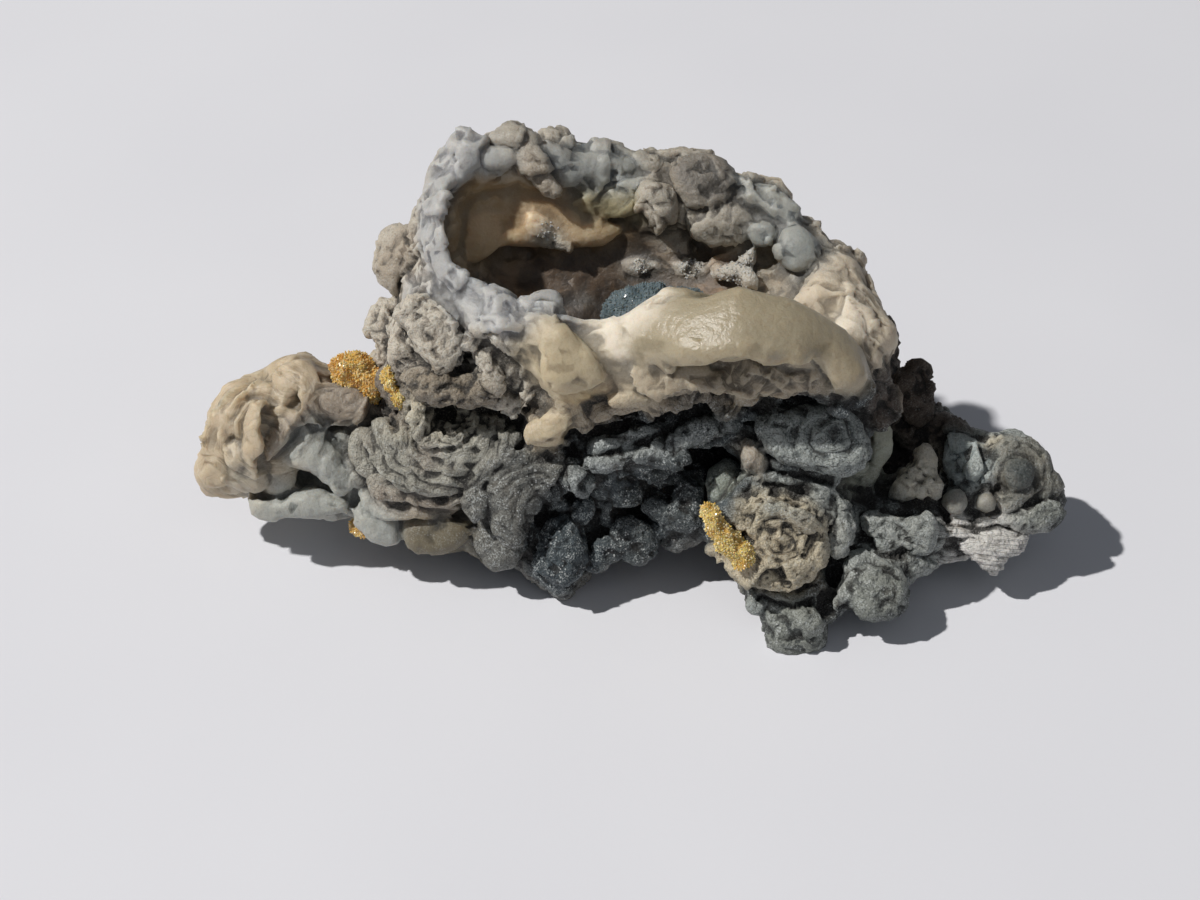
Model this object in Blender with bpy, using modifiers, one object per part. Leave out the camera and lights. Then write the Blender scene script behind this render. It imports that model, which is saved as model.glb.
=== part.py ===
"""A chalcedony specimen: a pale hollow bowl of chalcedony grown over a dark botryoidal base.

The stone grew as one piece, so it is one solid. Four crusts of yellow crystals and the crystal-covered
mound inside the hollow sit in beds in it. Metres, +Z up, +Y away from the viewer of the photo. The origin
is under the middle of the stone, on the surface that it rests on.
"""

import math

import bmesh
import bpy
import numpy as np
from mathutils import Euler, Matrix, Vector

MM = 0.001

# The stone is 110 mm long. Its lumps below are placed from the middle of the photo, in millimetres,
# and the whole stone is then moved by this much to stand over its own middle.
TO_ORIGIN = Vector((-3.7, 3.3, 0.0))

LUMP_GRAIN = 0.9 * MM  # voxel that joins the lumps
CRUST_GRAIN = 0.5 * MM  # voxel that joins the lumps of a crust of crystals
STONE_FACES = 7900
CRUST_FACES = 180
CRUST_GAP = 0.3 * MM  # left around each crust in its bed

SWELLING_SIZE = 13.0 * MM  # broad unevenness over the whole stone
SWELLING_HEIGHT = 1.5 * MM
BOTRYOID_SIZE = 7.0 * MM  # round knobs that chalcedony grows in
BOTRYOID_HEIGHT = 2.4 * MM
BOTRYOID_BALANCE = 0.18  # share of the knobs' height that stands out of the lumps
CREASE_ROUNDNESS = 0.8  # 1 is a straight-sided crease, less is a rounder one
TERRACE_FADE = 3.0  # terraces keep their full height to two thirds of their reach

# Each lump is a name, a centre and three half sizes in mm, and a turn in degrees.
DARK_BASE = (
    ("base_core", (8, 0, 14), (32, 12.5, 12), (0, 0, 0)),
    ("base_left", (-20, -1, 15.5), (17, 11, 11), (0, 0, 6)),
    ("base_back_left", (-12, 9, 11), (23, 8.5, 13.6), (0, 0, 5)),
    ("base_back_right", (20, 9, 11), (19, 8.5, 13.2), (0, 0, -8)),
    ("base_shelf", (3, -10, 20), (14, 6, 5), (0, -12, 0)),
    ("shell_stack", (-19, -8.5, 18), (12, 7, 9), (10, 0, 0)),
    ("shell_stack_foot", (-22, -10.5, 9.5), (9, 5.5, 5), (0, 8, 0)),
    ("low_left_knob", (-18.5, -12.5, 6.6), (6.5, 4.2, 4), (0, 10, 0)),
    ("low_left_lip", (-27, -9.5, 6.5), (4.5, 4, 3), (0, 0, 0)),
    ("great_shell", (-10.5, -13.5, 14), (5.6, 5.6, 10), (10, 22, 0)),
    ("great_shell_foot", (-13.5, -13.5, 6.6), (4.6, 4.6, 4.6), (0, 0, 0)),
    ("middle_foot", (-5, -15, 5.4), (5, 5.6, 7.4), (0, 0, 0)),
    ("middle_knob", (3, -13.5, 8.5), (4.6, 4.6, 4.2), (0, 0, 0)),
    ("middle_upper_knob", (0, -13.5, 15.5), (4.4, 4, 4), (0, 0, 0)),
    ("middle_low_knob", (9.5, -13, 8.5), (4.4, 4.6, 4.6), (0, 0, 0)),
    ("shelf_knob_left", (-3, -14, 19.5), (3.6, 3.6, 2.8), (0, -15, 0)),
    ("shelf_knob_right", (8, -13.5, 21), (4.6, 3.6, 3), (0, -12, 0)),
    ("ring_coil", (24.5, -7.5, 21.5), (12.5, 8.5, 8), (0, 8, 0)),
    ("ring_coil_shoulder", (33, -8.5, 18.5), (4.6, 5.6, 7.6), (0, 0, 0)),
    ("front_coil", (20.5, -17.5, 12.8), (8.2, 8, 8.2), (0, 0, 0)),
    ("front_coil_top", (24, -13.5, 18.5), (8, 6, 4.6), (0, 15, 0)),
    ("front_plate", (28.5, -16, 13.5), (3.2, 6, 8.6), (0, 12, 0)),
    ("front_foot", (24.9, -23.6, 3.0), (4.8, 5.0, 5.8), (0, 0, 0)),
    ("front_foot_neck", (21.3, -21, 6), (4.6, 5.4, 4.8), (0, 0, 0)),
    ("right_foot", (33, -20.5, 6.6), (6, 5.4, 5.4), (0, -20, 0)),
    ("right_slab", (39.5, -14.6, 9.8), (8.6, 5, 3.8), (0, 6, 0)),
    ("right_under", (43, -10, 6), (10, 8, 4.8), (0, -10, 0)),
    ("right_lobe", (50, -7, 10), (8.6, 8, 7.6), (0, -6, 0)),
    ("right_lobe_tip", (55.6, -9, 9.4), (4.4, 5.4, 5), (0, 0, 0)),
    ("right_lobe_shelf", (44.4, -4, 12), (5.6, 5.6, 6), (0, 10, 0)),
    ("right_knob", (45.6, -12.6, 11), (2.6, 2.6, 3), (0, 0, 0)),
    ("right_spike", (39.5, -9.6, 13), (2.6, 2.8, 4.6), (0, 25, 0)),
    ("back_right_rock", (37.0, 3.2, 11.6), (7.4, 7, 7.6), (0, 0, 0)),
    ("back_right_ledge", (42, 2, 8), (8, 7, 6.6), (0, 0, 0)),
)

BEIGE_LOBE = (
    ("lobe_body", (-41, -4.6, 16.4), (9.8, 8.4, 8.8), (0, 25, 0)),
    ("lobe_side", (-46.6, -7, 12.6), (5.8, 5.4, 5.8), (0, 0, 0)),
    ("lobe_crest", (-38, -2.6, 22), (6.2, 5, 4.4), (0, 15, 0)),
    ("rosette_ledge", (-31.5, -4.6, 22), (7.6, 5.4, 4), (0, 8, 0)),
    ("lobe_neck", (-30, -2, 16), (9, 8, 8), (0, 0, 0)),
    ("lobe_rim", (-36.5, -9, 8.6), (9.4, 3.6, 3.2), (0, 4, 0)),
    ("lobe_rim_inner", (-29, -9.5, 12), (6, 4.6, 4.6), (0, 0, 0)),
)

PALE_BOWL = (
    ("bowl_core", (6, 0, 33), (26.5, 13.2, 13), (0, 0, 0)),
    ("bowl_left_rock", (-14, -4, 33), (10.5, 9, 9.5), (0, 0, 0)),
    ("left_wall", (-18.4, 2, 43), (4.8, 7.8, 8.2), (0, 0, 0)),
    ("left_peak", (-16.6, 8, 47.4), (3.4, 4.6, 6), (0, -8, 0)),
    ("back_wall_left", (-10, 10.4, 46), (5.6, 4, 7), (0, 0, 0)),
    ("back_wall_low_left", (-10.5, 9.6, 37), (8, 4.6, 7), (0, 0, 0)),
    ("back_wall_inner", (-4, 11, 43.5), (5.5, 4.2, 7), (0, 0, 0)),
    ("back_wall_middle", (3, 11.5, 42), (6.5, 4.4, 7), (0, 0, 0)),
    ("back_wall_right", (11, 11, 41), (6.5, 4.6, 7), (0, 0, 0)),
    ("back_wall_end", (17.2, 9.2, 39.2), (6.2, 4.6, 6.8), (0, 0, -15)),
    ("back_wall_corner", (23.4, 6.0, 35.4), (5.6, 5.2, 6.8), (0, 0, -35)),
    ("back_wall_flank", (29, 2, 33.5), (5.4, 6.2, 6.4), (0, 0, 0)),
    ("right_wall", (31, -5, 32.5), (5.6, 7.6, 7), (0, 0, 0)),
    ("right_wall_low", (32, -8, 28), (4.2, 5.6, 4.6), (0, 0, 0)),
    ("front_left_rim", (-18, -5, 38.5), (3.8, 5.2, 4.6), (0, 0, 0)),
    ("front_left_rim_2", (-12.5, -9, 38), (4.4, 4.2, 4.4), (0, 0, 0)),
    ("front_left_rim_3", (-6.5, -11, 37.5), (4.2, 4.2, 4.6), (0, 0, 0)),
    ("cream_fold", (-3, -13.2, 32.5), (5, 4.4, 6.5), (0, -18, 0)),
    ("fold_tail", (-6.5, -14.2, 25.6), (4.2, 3.8, 3.4), (0, 0, 0)),
    ("left_cluster", (-21, -6, 31), (6.8, 6.4, 7.4), (0, 0, 0)),
    ("left_cluster_low", (-15, -10, 27.5), (8.8, 4.8, 4.2), (0, -4, 0)),
    ("left_knob", (-24.2, 4, 36.6), (3.8, 4.4, 4.4), (0, 0, 0)),
    ("left_shoulder", (-23.6, -1, 28), (5.6, 6.4, 6), (0, 0, 0)),
    ("front_ledge", (8, -13.5, 32), (12, 4, 3.4), (0, -3, 0)),
    ("front_ledge_low", (12, -14, 29.5), (9, 3.4, 2.6), (0, -3, 0)),
    ("small_drip", (23, -15.5, 33.5), (3, 3.4, 3.4), (0, 0, 0)),
    ("sand_floor", (4, -11.5, 35), (6, 5, 4.5), (0, 0, 0)),
    ("hanging_knob", (8.6, 6.6, 42), (2.6, 3.4, 3.6), (0, 0, 0)),
    ("right_inner_knob", (24.6, 2.6, 39.4), (3.4, 3.4, 3.2), (0, 0, 0)),
)

# The smooth thick lip in front of the hollow: its middle line and half thicknesses, in mm.
FRONT_LIP = (
    ((6.2, -14.2, 38.6), 3.2),
    ((10.5, -14.8, 40.3), 4.4),
    ((16.0, -15.2, 41.3), 4.8),
    ((21.5, -15.2, 40.6), 4.5),
    ((25.6, -15.0, 38.6), 4.1),
    ((28.6, -15.4, 35.6), 4.0),
    ((29.4, -15.8, 32.8), 3.7),
)
LIP_SMOOTH = 7.5 * MM  # round knobs fade out this close to the lip's middle line

# Shells that overlap like coiled leaves: a centre, how far they reach, the width of a step and its height.
SHELL_TERRACES = (
    ("shell_stack", (-18.4, -11.5, 26.5), 17.0, 3.6, 1.5),
    ("great_shell", (-3.0, -16.5, 15.5), 10.5, 3.2, 1.3),
    ("ring_coil", (27.8, -15.6, 25.0), 11.0, 3.2, 1.4),
    ("front_coil", (22.5, -26.0, 15.0), 10.0, 3.0, 1.3),
    ("rosette_ledge", (-32.0, -8.2, 24.6), 14.0, 4.0, 1.5),
    ("right_lobe", (52.8, -11.8, 15.4), 10.0, 3.2, 1.3),
    ("brown_pod", (-20.5, -10.5, 36.8), 7.0, 2.6, 1.1),
    ("back_left", (-22.0, 17.0, 18.0), 13.0, 3.8, 1.4),
    ("back_right", (22.0, 17.0, 16.0), 12.0, 3.6, 1.4),
)

# Creases between the lumps: half the width, the depth, and the points that the crease runs through.
CREASES = (
    ("great_shell_edge", 2.2, 3.2, ((-6.5, -17.5, 22), (-6.5, -19, 19), (-7, -18.5, 14.5), (-8, -19, 10.5))),
    ("stack_edge", 1.8, 2.4, ((-11, -14.5, 24), (-12.5, -15.5, 22.5), (-14, -17, 20), (-15.5, -19, 17.5))),
    ("stack_edge_low", 1.8, 2.4, ((-15.5, -19, 17.5), (-16, -18.5, 12))),
    ("shelf_under", 1.8, 2.6, ((-1, -15.5, 21.5), (3, -15, 23), (7.5, -15, 24.5), (11.5, -13.5, 24.5))),
    ("cave_row", 2.2, 3.0, ((-0.5, -17, 14.5), (2, -16.5, 13), (5, -16, 11.5), (7, -16, 9.5))),
    ("coil_cave_edge", 2.0, 2.6, ((12.5, -9.5, 17.5), (15, -11, 17), (16.5, -17, 20.5))),
    ("coil_under", 1.8, 2.6, ((18.5, -18, 21.5), (23, -19, 21), (28, -19, 20), (32.5, -14.5, 16))),
    ("front_coil_right", 1.8, 2.4, ((29, -20.5, 19), (30.5, -17.5, 10.5), (29, -22.5, 9))),
    ("front_coil_under", 1.8, 2.4, ((19, -26.5, 9.5), (22, -26.5, 8), (26, -26.5, 7.5), (28, -25.5, 9))),
    ("lobe_fold", 1.8, 2.4, ((-37.5, -10, 22.5), (-39, -11.5, 21), (-40.5, -13, 18), (-41, -14.5, 15.5))),
    ("rosette_under", 1.8, 2.4, ((-34, -9, 21), (-31, -9, 22), (-28.5, -8.5, 24.5))),
    ("lobe_back_fold", 1.6, 2.0, ((-42.5, -4.5, 24), (-45, -8, 23), (-46.5, -9.5, 19))),
    ("lobe_low_fold", 2.0, 2.6, ((-45, -13.5, 14), (-40.5, -14, 16.5), (-36, -11, 14), (-31.5, -13.5, 14))),
    ("stack_arc", 1.5, 2.0, ((-29, -10.5, 21.5), (-27, -14, 19), (-23.5, -16.5, 18), (-18.5, -17.5, 17.5))),
    ("stack_arc_end", 1.5, 2.0, ((-18.5, -17.5, 17.5), (-14.5, -17, 20))),
    ("stack_arc_low", 1.6, 2.2, ((-30, -13.5, 14), (-25, -17, 13.5), (-20, -17.5, 13), (-16, -19, 15.5))),
    ("bowl_under_left", 1.8, 2.6, ((-25.5, -9, 24.5), (-20.5, -13.5, 27), (-16, -14, 27), (-11, -13.5, 26))),
    ("pod_edge", 1.8, 2.8, ((-18, -11, 37), (-17, -12, 35), (-16.5, -12.5, 33))),
    ("lip_under", 1.6, 2.2, ((2.5, -16, 36), (7, -17, 36.5), (11.5, -18.5, 37), (16.5, -19, 37))),
    ("lip_under_end", 1.6, 2.2, ((16.5, -19, 37), (21, -19, 37), (25.5, -19, 35))),
    ("ledge_under", 1.8, 2.6, ((-1, -16, 29), (5, -17, 30.5), (12, -16.5, 31.5), (19, -15.5, 31.5))),
    ("ledge_under_end", 1.8, 2.6, ((19, -15.5, 31.5), (26, -18.5, 31.5))),
    ("slab_lobe", 1.6, 2.4, ((43.5, -7.5, 13.5), (43.5, -12.5, 13.5), (44, -16.5, 12))),
    ("lobe_layer", 1.5, 2.0, ((44.5, -18, 8.5), (50.5, -15, 7.5), (56.5, -13.5, 9.5))),
    ("cluster_fold", 1.6, 2.2, ((-24, -8.5, 36), (-23, -11.5, 33.5), (-22, -12, 30))),
    ("cluster_fold_right", 1.5, 2.0, ((-14.5, -11, 40.5), (-12, -13, 36), (-11.5, -13, 30))),
    ("middle_crevice", 2.0, 3.0, ((-1, -16.5, 15.5), (-1, -16.5, 10.5), (0, -16.5, 5))),
)

HOLLOWS = (
    ("hollow_main", (-1, -0.8, 44), (16.5, 8.8, 13.5), (0, 0, 0)),
    ("hollow_left", (-10.4, 0.2, 42.5), (8.6, 7.4, 10.5), (0, 0, 0)),
    ("hollow_right", (13.5, -0.8, 44), (13, 7.6, 10), (0, 6, 0)),
    ("hollow_end", (22.5, -3, 44), (7, 5.5, 5.4), (0, 10, 0)),
    ("hollow_mouth", (2, -1.5, 53), (21, 9.5, 9), (0, 6, 0)),
    ("rim_notch", (2.3, -15, 43.5), (3, 7, 5), (0, 15, 0)),
    ("under_lip", (13, -16.8, 36), (9, 2.4, 1.9), (0, -3, 0)),
    ("under_bowl", (12, -17, 26.5), (17, 5.4, 2.6), (0, -6, 0)),
    ("under_bowl_left", (-17, -14, 24.6), (9, 3.6, 1.6), (0, -4, 0)),
    ("coil_cave", (13.2, -14.6, 18.6), (3.4, 5.5, 3.6), (0, 20, 0)),
    ("shell_cave", (-1, -18.6, 11.9), (2.4, 4.5, 2.2), (0, 0, 0)),
    ("middle_cave", (6.4, -17.4, 13), (2.6, 3.6, 2), (0, 0, 0)),
    ("lobe_cave", (-26.4, -9.4, 21.4), (3.2, 3.5, 1.9), (0, 15, 0)),
    ("plate_gap", (30.4, -22, 11), (1.9, 5.5, 4.2), (0, 25, 0)),
    ("slab_gap", (38, -16.5, 14.6), (6.5, 4, 2.2), (0, 4, 0)),
    ("spike_gap", (36.4, -9, 18.5), (4.4, 4.5, 4.5), (0, 0, 0)),
    ("shelf_gap", (42.4, -6.5, 15.6), (1.8, 4.5, 4), (0, 20, 0)),
    ("belly", (6, -25, 3), (12, 11, 4.6), (0, 0, 0)),
    ("left_undercut", (-40, -7, 1.5), (13, 15, 5), (0, -8, 0)),
    ("right_undercut", (53, -12, -1.0), (12, 15, 4), (0, 8, 0)),
)

# Knobs over the side that the photo doesn't show: ranges of height and half size in mm.
BACK_KNOBS = (
    ("back_base", 16, (4.0, 24.0), (34.0, 15.0), (3.6, 5.4)),
    ("back_bowl", 12, (27.0, 43.0), (23.0, 12.6), (3.0, 4.6)),
)

# Yellow crystals, each a short chain of lumps in mm.
YELLOW_CRUSTS = {
    "yellow_crystals_upper": (
        (("tuft", (-31.0, -4.0, 25.8), (3.0, 2.6, 2.8), (0, 0, 0)),
         ("tuft_side", (-28.6, -5.4, 24.6), (2.0, 2.2, 2.2), (0, 0, 0)),)
    ),
    "yellow_crystals_left": (
        (("strip_top", (-25.8, -8.8, 28.2), (1.1, 1.7, 1.9), (0, -10, 0)),
         ("strip_end", (-24.6, -9.6, 26.2), (1.2, 1.7, 1.7), (0, -35, 0)),)
    ),
    "yellow_crystals_front": (
        (("vein_top", (13.6, -22.9, 17.8), (1.3, 2.2, 2.2), (0, -30, 0)),
         ("vein_middle", (15.2, -24.0, 15.6), (1.5, 2.2, 2.3), (0, -38, 0)),
         ("vein_end", (17.2, -24.6, 13.8), (1.9, 2.2, 1.7), (0, 0, 0)),)
    ),
    "yellow_crystals_low": (
        (("pocket", (-30.4, -12.4, 7.4), (1.7, 1.7, 1.3), (0, 0, 0)),)
    ),
}

CRYSTAL_MOUND = (
    ("mound", (6.0, -3.2, 33.5), (6.0, 4.6, 4.4), (0, 0, 0)),
    ("mound_side", (10.5, -2.2, 33.5), (4.0, 3.6, 3.2), (0, 0, 0)),
)

# A colour and a roughness for each.
FINISHES = {
    "chalcedony": ((0.36, 0.35, 0.33, 1.0), 0.45),
    "yellow": ((0.80, 0.52, 0.14, 1.0), 0.5),
    "mound": ((0.30, 0.38, 0.44, 1.0), 0.3),
}


def clear_scene():
    for obj in list(bpy.data.objects):
        bpy.data.objects.remove(obj)


def material(name, colour, roughness):
    made = bpy.data.materials.new(name)
    made.use_nodes = True
    shader = made.node_tree.nodes["Principled BSDF"]
    shader.inputs["Base Color"].default_value = colour
    shader.inputs["Roughness"].default_value = roughness
    shader.inputs["Metallic"].default_value = 0.0
    return made


def placed(centre):
    """A centre in millimetres from the middle of the photo, as a point of the stone in metres."""
    return (Vector(centre) + TO_ORIGIN) * MM


def add_lump(mesh, centre, half_sizes, turn, grow=0.0):
    """One turned ellipsoid, grown by a gap where it is cut as a bed."""
    sizes = [half * MM + grow for half in half_sizes]
    angles = Euler([math.radians(angle) for angle in turn])
    matrix = Matrix.LocRotScale(placed(centre), angles, Vector(sizes))
    bmesh.ops.create_icosphere(mesh, subdivisions=4, radius=1.0, matrix=matrix)


def object_of(name, mesh, collection):
    data = bpy.data.meshes.new(name)
    mesh.to_mesh(data)
    mesh.free()
    obj = bpy.data.objects.new(name, data)
    collection.objects.link(obj)
    return obj


def lumps_object(name, lumps, collection, grow=0.0):
    mesh = bmesh.new()
    for _, centre, half_sizes, turn in lumps:
        add_lump(mesh, centre, half_sizes, turn, grow)
    return object_of(name, mesh, collection)


def lip_lumps():
    """The front lip as round lumps close together along its middle line."""
    steps = 4
    lumps = []
    for (start, thick), (end, thin) in zip(FRONT_LIP, FRONT_LIP[1:]):
        for step in range(steps):
            share = step / steps
            centre = Vector(start).lerp(Vector(end), share)
            half = thick + (thin - thick) * share
            lumps.append(("lip", centre, (half, half, half), (0, 0, 0)))
    return lumps


def back_knob_lumps():
    """Round knobs spread evenly over the back by the golden ratio."""
    golden = (math.sqrt(5) - 1) / 2
    lumps = []
    for name, count, (low, high), (across, deep), (small, large) in BACK_KNOBS:
        for number in range(count):
            angle = math.pi * (0.14 + 0.78 * ((number * golden) % 1.0))
            height = low + (high - low) * (number + 0.5) / count
            half = small + (large - small) * ((number * golden * golden * 3) % 1.0)
            centre = (6 + across * math.cos(angle), 2 + deep * math.sin(angle), height)
            lumps.append((name, centre, (half, half, half * 0.85), (0, 0, 0)))
    return lumps


def freeze(obj):
    """Applies the object's modifiers."""
    graph = bpy.context.evaluated_depsgraph_get()
    data = bpy.data.meshes.new_from_object(obj.evaluated_get(graph))
    obj.modifiers.clear()
    old = obj.data
    obj.data = data
    bpy.data.meshes.remove(old)


def voxel_join(obj, grain):
    join = obj.modifiers.new("join", "REMESH")
    join.mode = "VOXEL"
    join.voxel_size = grain
    freeze(obj)


def cut(obj, cutter):
    cutter.hide_render = True
    cutter.display_type = "WIRE"
    boolean = obj.modifiers.new("cut_" + cutter.name, "BOOLEAN")
    boolean.operation = "DIFFERENCE"
    boolean.object = cutter
    freeze(obj)


def weigh_knobs(obj):
    """A vertex group that keeps the round knobs off the smooth front lip."""
    group = obj.vertex_groups.new(name="knobbly")
    line = [placed(centre) for centre, _ in FRONT_LIP]
    for vertex in obj.data.vertices:
        nearest = min((vertex.co - point).length for point in line)
        weight = min(1.0, max(0.1, nearest / LIP_SMOOTH - 0.3))
        group.add([vertex.index], weight, "REPLACE")


def grow_botryoids(obj):
    """Broad swellings first, then round knobs with creases between them."""
    weigh_knobs(obj)
    swelling = bpy.data.textures.new("swelling", "CLOUDS")
    swelling.noise_scale = SWELLING_SIZE
    swelling.noise_depth = 1
    knobs = bpy.data.textures.new("knobs", "VORONOI")
    knobs.noise_scale = BOTRYOID_SIZE
    for texture, height, middle in (
        (swelling, SWELLING_HEIGHT, 0.5),
        (knobs, -BOTRYOID_HEIGHT, BOTRYOID_BALANCE),
    ):
        displace = obj.modifiers.new(texture.name, "DISPLACE")
        displace.texture = texture
        displace.texture_coords = "LOCAL"
        displace.strength = height
        displace.mid_level = middle
        displace.vertex_group = "knobbly"
    freeze(obj)


def distance_to_line(places, points):
    """How far each place is from a line through the points."""
    nearest = np.full(len(places), np.inf)
    for start, end in zip(points, points[1:]):
        along = end - start
        share = np.clip((places - start) @ along / (along @ along), 0.0, 1.0)
        nearest = np.minimum(nearest, np.linalg.norm(places - start - share[:, None] * along, axis=1))
    return nearest


def carve_shells(obj):
    """Terraces that rise outwards to an edge and drop to the next, and creases between the lumps."""
    count = len(obj.data.vertices)
    places = np.empty(count * 3)
    obj.data.vertices.foreach_get("co", places)
    places = places.reshape(-1, 3) / MM - np.array(TO_ORIGIN)
    normals = np.empty(count * 3)
    obj.data.vertex_normals.foreach_get("vector", normals)
    normals = normals.reshape(-1, 3)
    height = np.zeros(count)
    for _, centre, reach, step, drop in SHELL_TERRACES:
        away = np.linalg.norm(places - np.array(centre), axis=1)
        fade = np.clip((1.0 - away / reach) * TERRACE_FADE, 0.0, 1.0)
        terrace = drop * fade * ((away / step) % 1.0 - 0.5)
        height = np.where(np.abs(terrace) > np.abs(height), terrace, height)
    for _, half_width, depth, points in CREASES:
        near = distance_to_line(places, np.array(points, dtype=float))
        height -= depth * np.clip(1.0 - near / half_width, 0.0, 1.0) ** CREASE_ROUNDNESS
    places = (places + normals * height[:, None] + np.array(TO_ORIGIN)) * MM
    obj.data.vertices.foreach_set("co", places.ravel())
    obj.data.update()


def thin_out(obj, faces):
    obj.data.calc_loop_triangles()
    decimate = obj.modifiers.new("thin_out", "DECIMATE")
    decimate.ratio = faces / len(obj.data.loop_triangles)
    decimate.use_collapse_triangulate = True
    freeze(obj)


def ground_cutter(collection):
    """A block below the surface that the stone rests on, which leaves its feet flat."""
    side = 200 * MM
    depth = 40 * MM
    mesh = bmesh.new()
    bmesh.ops.create_cube(mesh, size=1.0)
    bmesh.ops.scale(mesh, vec=(side, side, depth), verts=mesh.verts)
    bmesh.ops.translate(mesh, vec=(0, 0, -depth / 2), verts=mesh.verts)
    return object_of("ground", mesh, collection)


def make_stone(parts, cutters):
    lumps = [*DARK_BASE, *BEIGE_LOBE, *PALE_BOWL, *lip_lumps(), *back_knob_lumps()]
    stone = lumps_object("chalcedony", lumps, parts)
    voxel_join(stone, LUMP_GRAIN)
    hollows = lumps_object("hollows", HOLLOWS, cutters)
    voxel_join(hollows, LUMP_GRAIN)
    cut(stone, hollows)
    voxel_join(stone, LUMP_GRAIN)
    grow_botryoids(stone)
    carve_shells(stone)
    voxel_join(stone, LUMP_GRAIN)
    thin_out(stone, STONE_FACES)
    cut(stone, ground_cutter(cutters))
    return stone


def make_crust(name, lumps, stone, parts, cutters, colour, roughness):
    """A crust of crystals in a bed cut for it in the stone."""
    bed = lumps_object("bed_" + name, lumps, cutters, CRUST_GAP)
    voxel_join(bed, CRUST_GRAIN)
    thin_out(bed, CRUST_FACES)
    cut(stone, bed)
    crust = lumps_object(name, lumps, parts)
    voxel_join(crust, CRUST_GRAIN)
    thin_out(crust, CRUST_FACES)
    crust.data.materials.append(material(name, colour, roughness))


def main():
    clear_scene()
    parts = bpy.data.collections.new("chalcedony_specimen")
    cutters = bpy.data.collections.new("cutters")
    bpy.context.scene.collection.children.link(parts)
    bpy.context.scene.collection.children.link(cutters)
    stone = make_stone(parts, cutters)
    for name, lumps in YELLOW_CRUSTS.items():
        make_crust(name, lumps, stone, parts, cutters, *FINISHES["yellow"])
    make_crust("crystal_mound", CRYSTAL_MOUND, stone, parts, cutters, *FINISHES["mound"])
    stone.data.materials.append(material("chalcedony", *FINISHES["chalcedony"]))
    stone.data.shade_smooth()


main()
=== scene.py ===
"""The looks of a chalcedony specimen: a pale hollow bowl over a dark base of knobs and coiled shells.

The stone is sculpted on a fine copy of its solid: first shell edges, knobs, pits and creases where the
photo shows them, then rings, small knobs, layers and grain. Each kind of chalcedony on it has a finish of
its own, and the finishes meet in patches. The crusts of crystals are made of small pointed crystals.
Lengths are in millimetres until a mesh is written back in metres.
"""

import math
import random

import bpy
import numpy as np
from mathutils import Matrix, Vector, noise
from mathutils.bvhtree import BVHTree


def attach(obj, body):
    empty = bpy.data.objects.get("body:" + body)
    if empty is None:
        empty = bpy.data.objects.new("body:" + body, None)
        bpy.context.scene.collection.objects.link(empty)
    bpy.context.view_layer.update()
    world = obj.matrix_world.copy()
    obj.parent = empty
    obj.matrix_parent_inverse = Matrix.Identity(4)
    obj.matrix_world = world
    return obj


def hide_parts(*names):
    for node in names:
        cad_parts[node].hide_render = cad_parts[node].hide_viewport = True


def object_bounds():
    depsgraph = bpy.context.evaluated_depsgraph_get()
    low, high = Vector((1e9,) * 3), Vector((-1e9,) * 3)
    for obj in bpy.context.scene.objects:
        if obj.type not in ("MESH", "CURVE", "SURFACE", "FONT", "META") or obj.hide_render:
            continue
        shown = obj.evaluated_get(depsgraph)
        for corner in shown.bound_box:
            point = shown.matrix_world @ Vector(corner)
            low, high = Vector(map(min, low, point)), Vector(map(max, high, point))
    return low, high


MM = 0.001

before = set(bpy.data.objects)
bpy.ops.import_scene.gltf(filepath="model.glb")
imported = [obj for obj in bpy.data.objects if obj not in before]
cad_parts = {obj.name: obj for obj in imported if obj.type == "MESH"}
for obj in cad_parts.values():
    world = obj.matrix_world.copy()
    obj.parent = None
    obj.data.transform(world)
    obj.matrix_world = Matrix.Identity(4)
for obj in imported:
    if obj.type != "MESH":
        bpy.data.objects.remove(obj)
CAD_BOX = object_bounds()

# The photo's view: how high it looks from, how far away, and its frame in pixels.
ELEVATION = math.radians(40)
EYE_DISTANCE = 300.0
PHOTO_MIDDLE = (600, 450)
PHOTO_WIDTH = 1200
FOCAL_PIXELS = 2370.0
SENSOR_WIDTH = 36.0
PHOTO_TO_ORIGIN = Vector((-3.7, 3.3, 0.0))  # from the middle of the photo to the stone's own middle
LOOK_AT = Vector((0.0, -8.0, 16.3)) + PHOTO_TO_ORIGIN
BACKWARDS = Vector((0.0, -math.cos(ELEVATION), math.sin(ELEVATION)))
UPWARDS = Vector((0.0, math.sin(ELEVATION), math.cos(ELEVATION)))
RIGHTWARDS = Vector((1.0, 0.0, 0.0))
PIXELS_PER_MM = FOCAL_PIXELS / EYE_DISTANCE
EYE = LOOK_AT + BACKWARDS * EYE_DISTANCE

FIRST_GRAIN = 0.45  # voxel of the copy that takes the plates and knobs
FINE_GRAIN = 0.27  # voxel of the copy that takes the fine forms
CRUST_GRAIN = 0.35  # voxel of a crust's copy
FIRST_THINNING = 0.58  # share of the triangles that stays after the hidden sides are thinned
STONE_TRIANGLES = 197000
FLOOR_MARGIN = 0.02  # how far the lowest places stay above the floor
GROUND_REACH = 0.6
TOP_SQUEEZE = 0.6  # what is above the solid's top stands this share as high

PLATE_LIFT = 1.45  # the plates stand up this many times as high as their table says
PLATE_EDGE, PLATE_ROOT = 0.55, 0.5  # how thick a plate's edge is, and how deep its root lies in the stone
PLATE_WAVE = 1.7  # how long the waves of its edge are
GROOVE_REACH = 1.5
GROOVE_DEPTH = 0.55  # of a plate's lift
RIM_REACH, RIM_MARGIN = 0.55, 1.5

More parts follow.
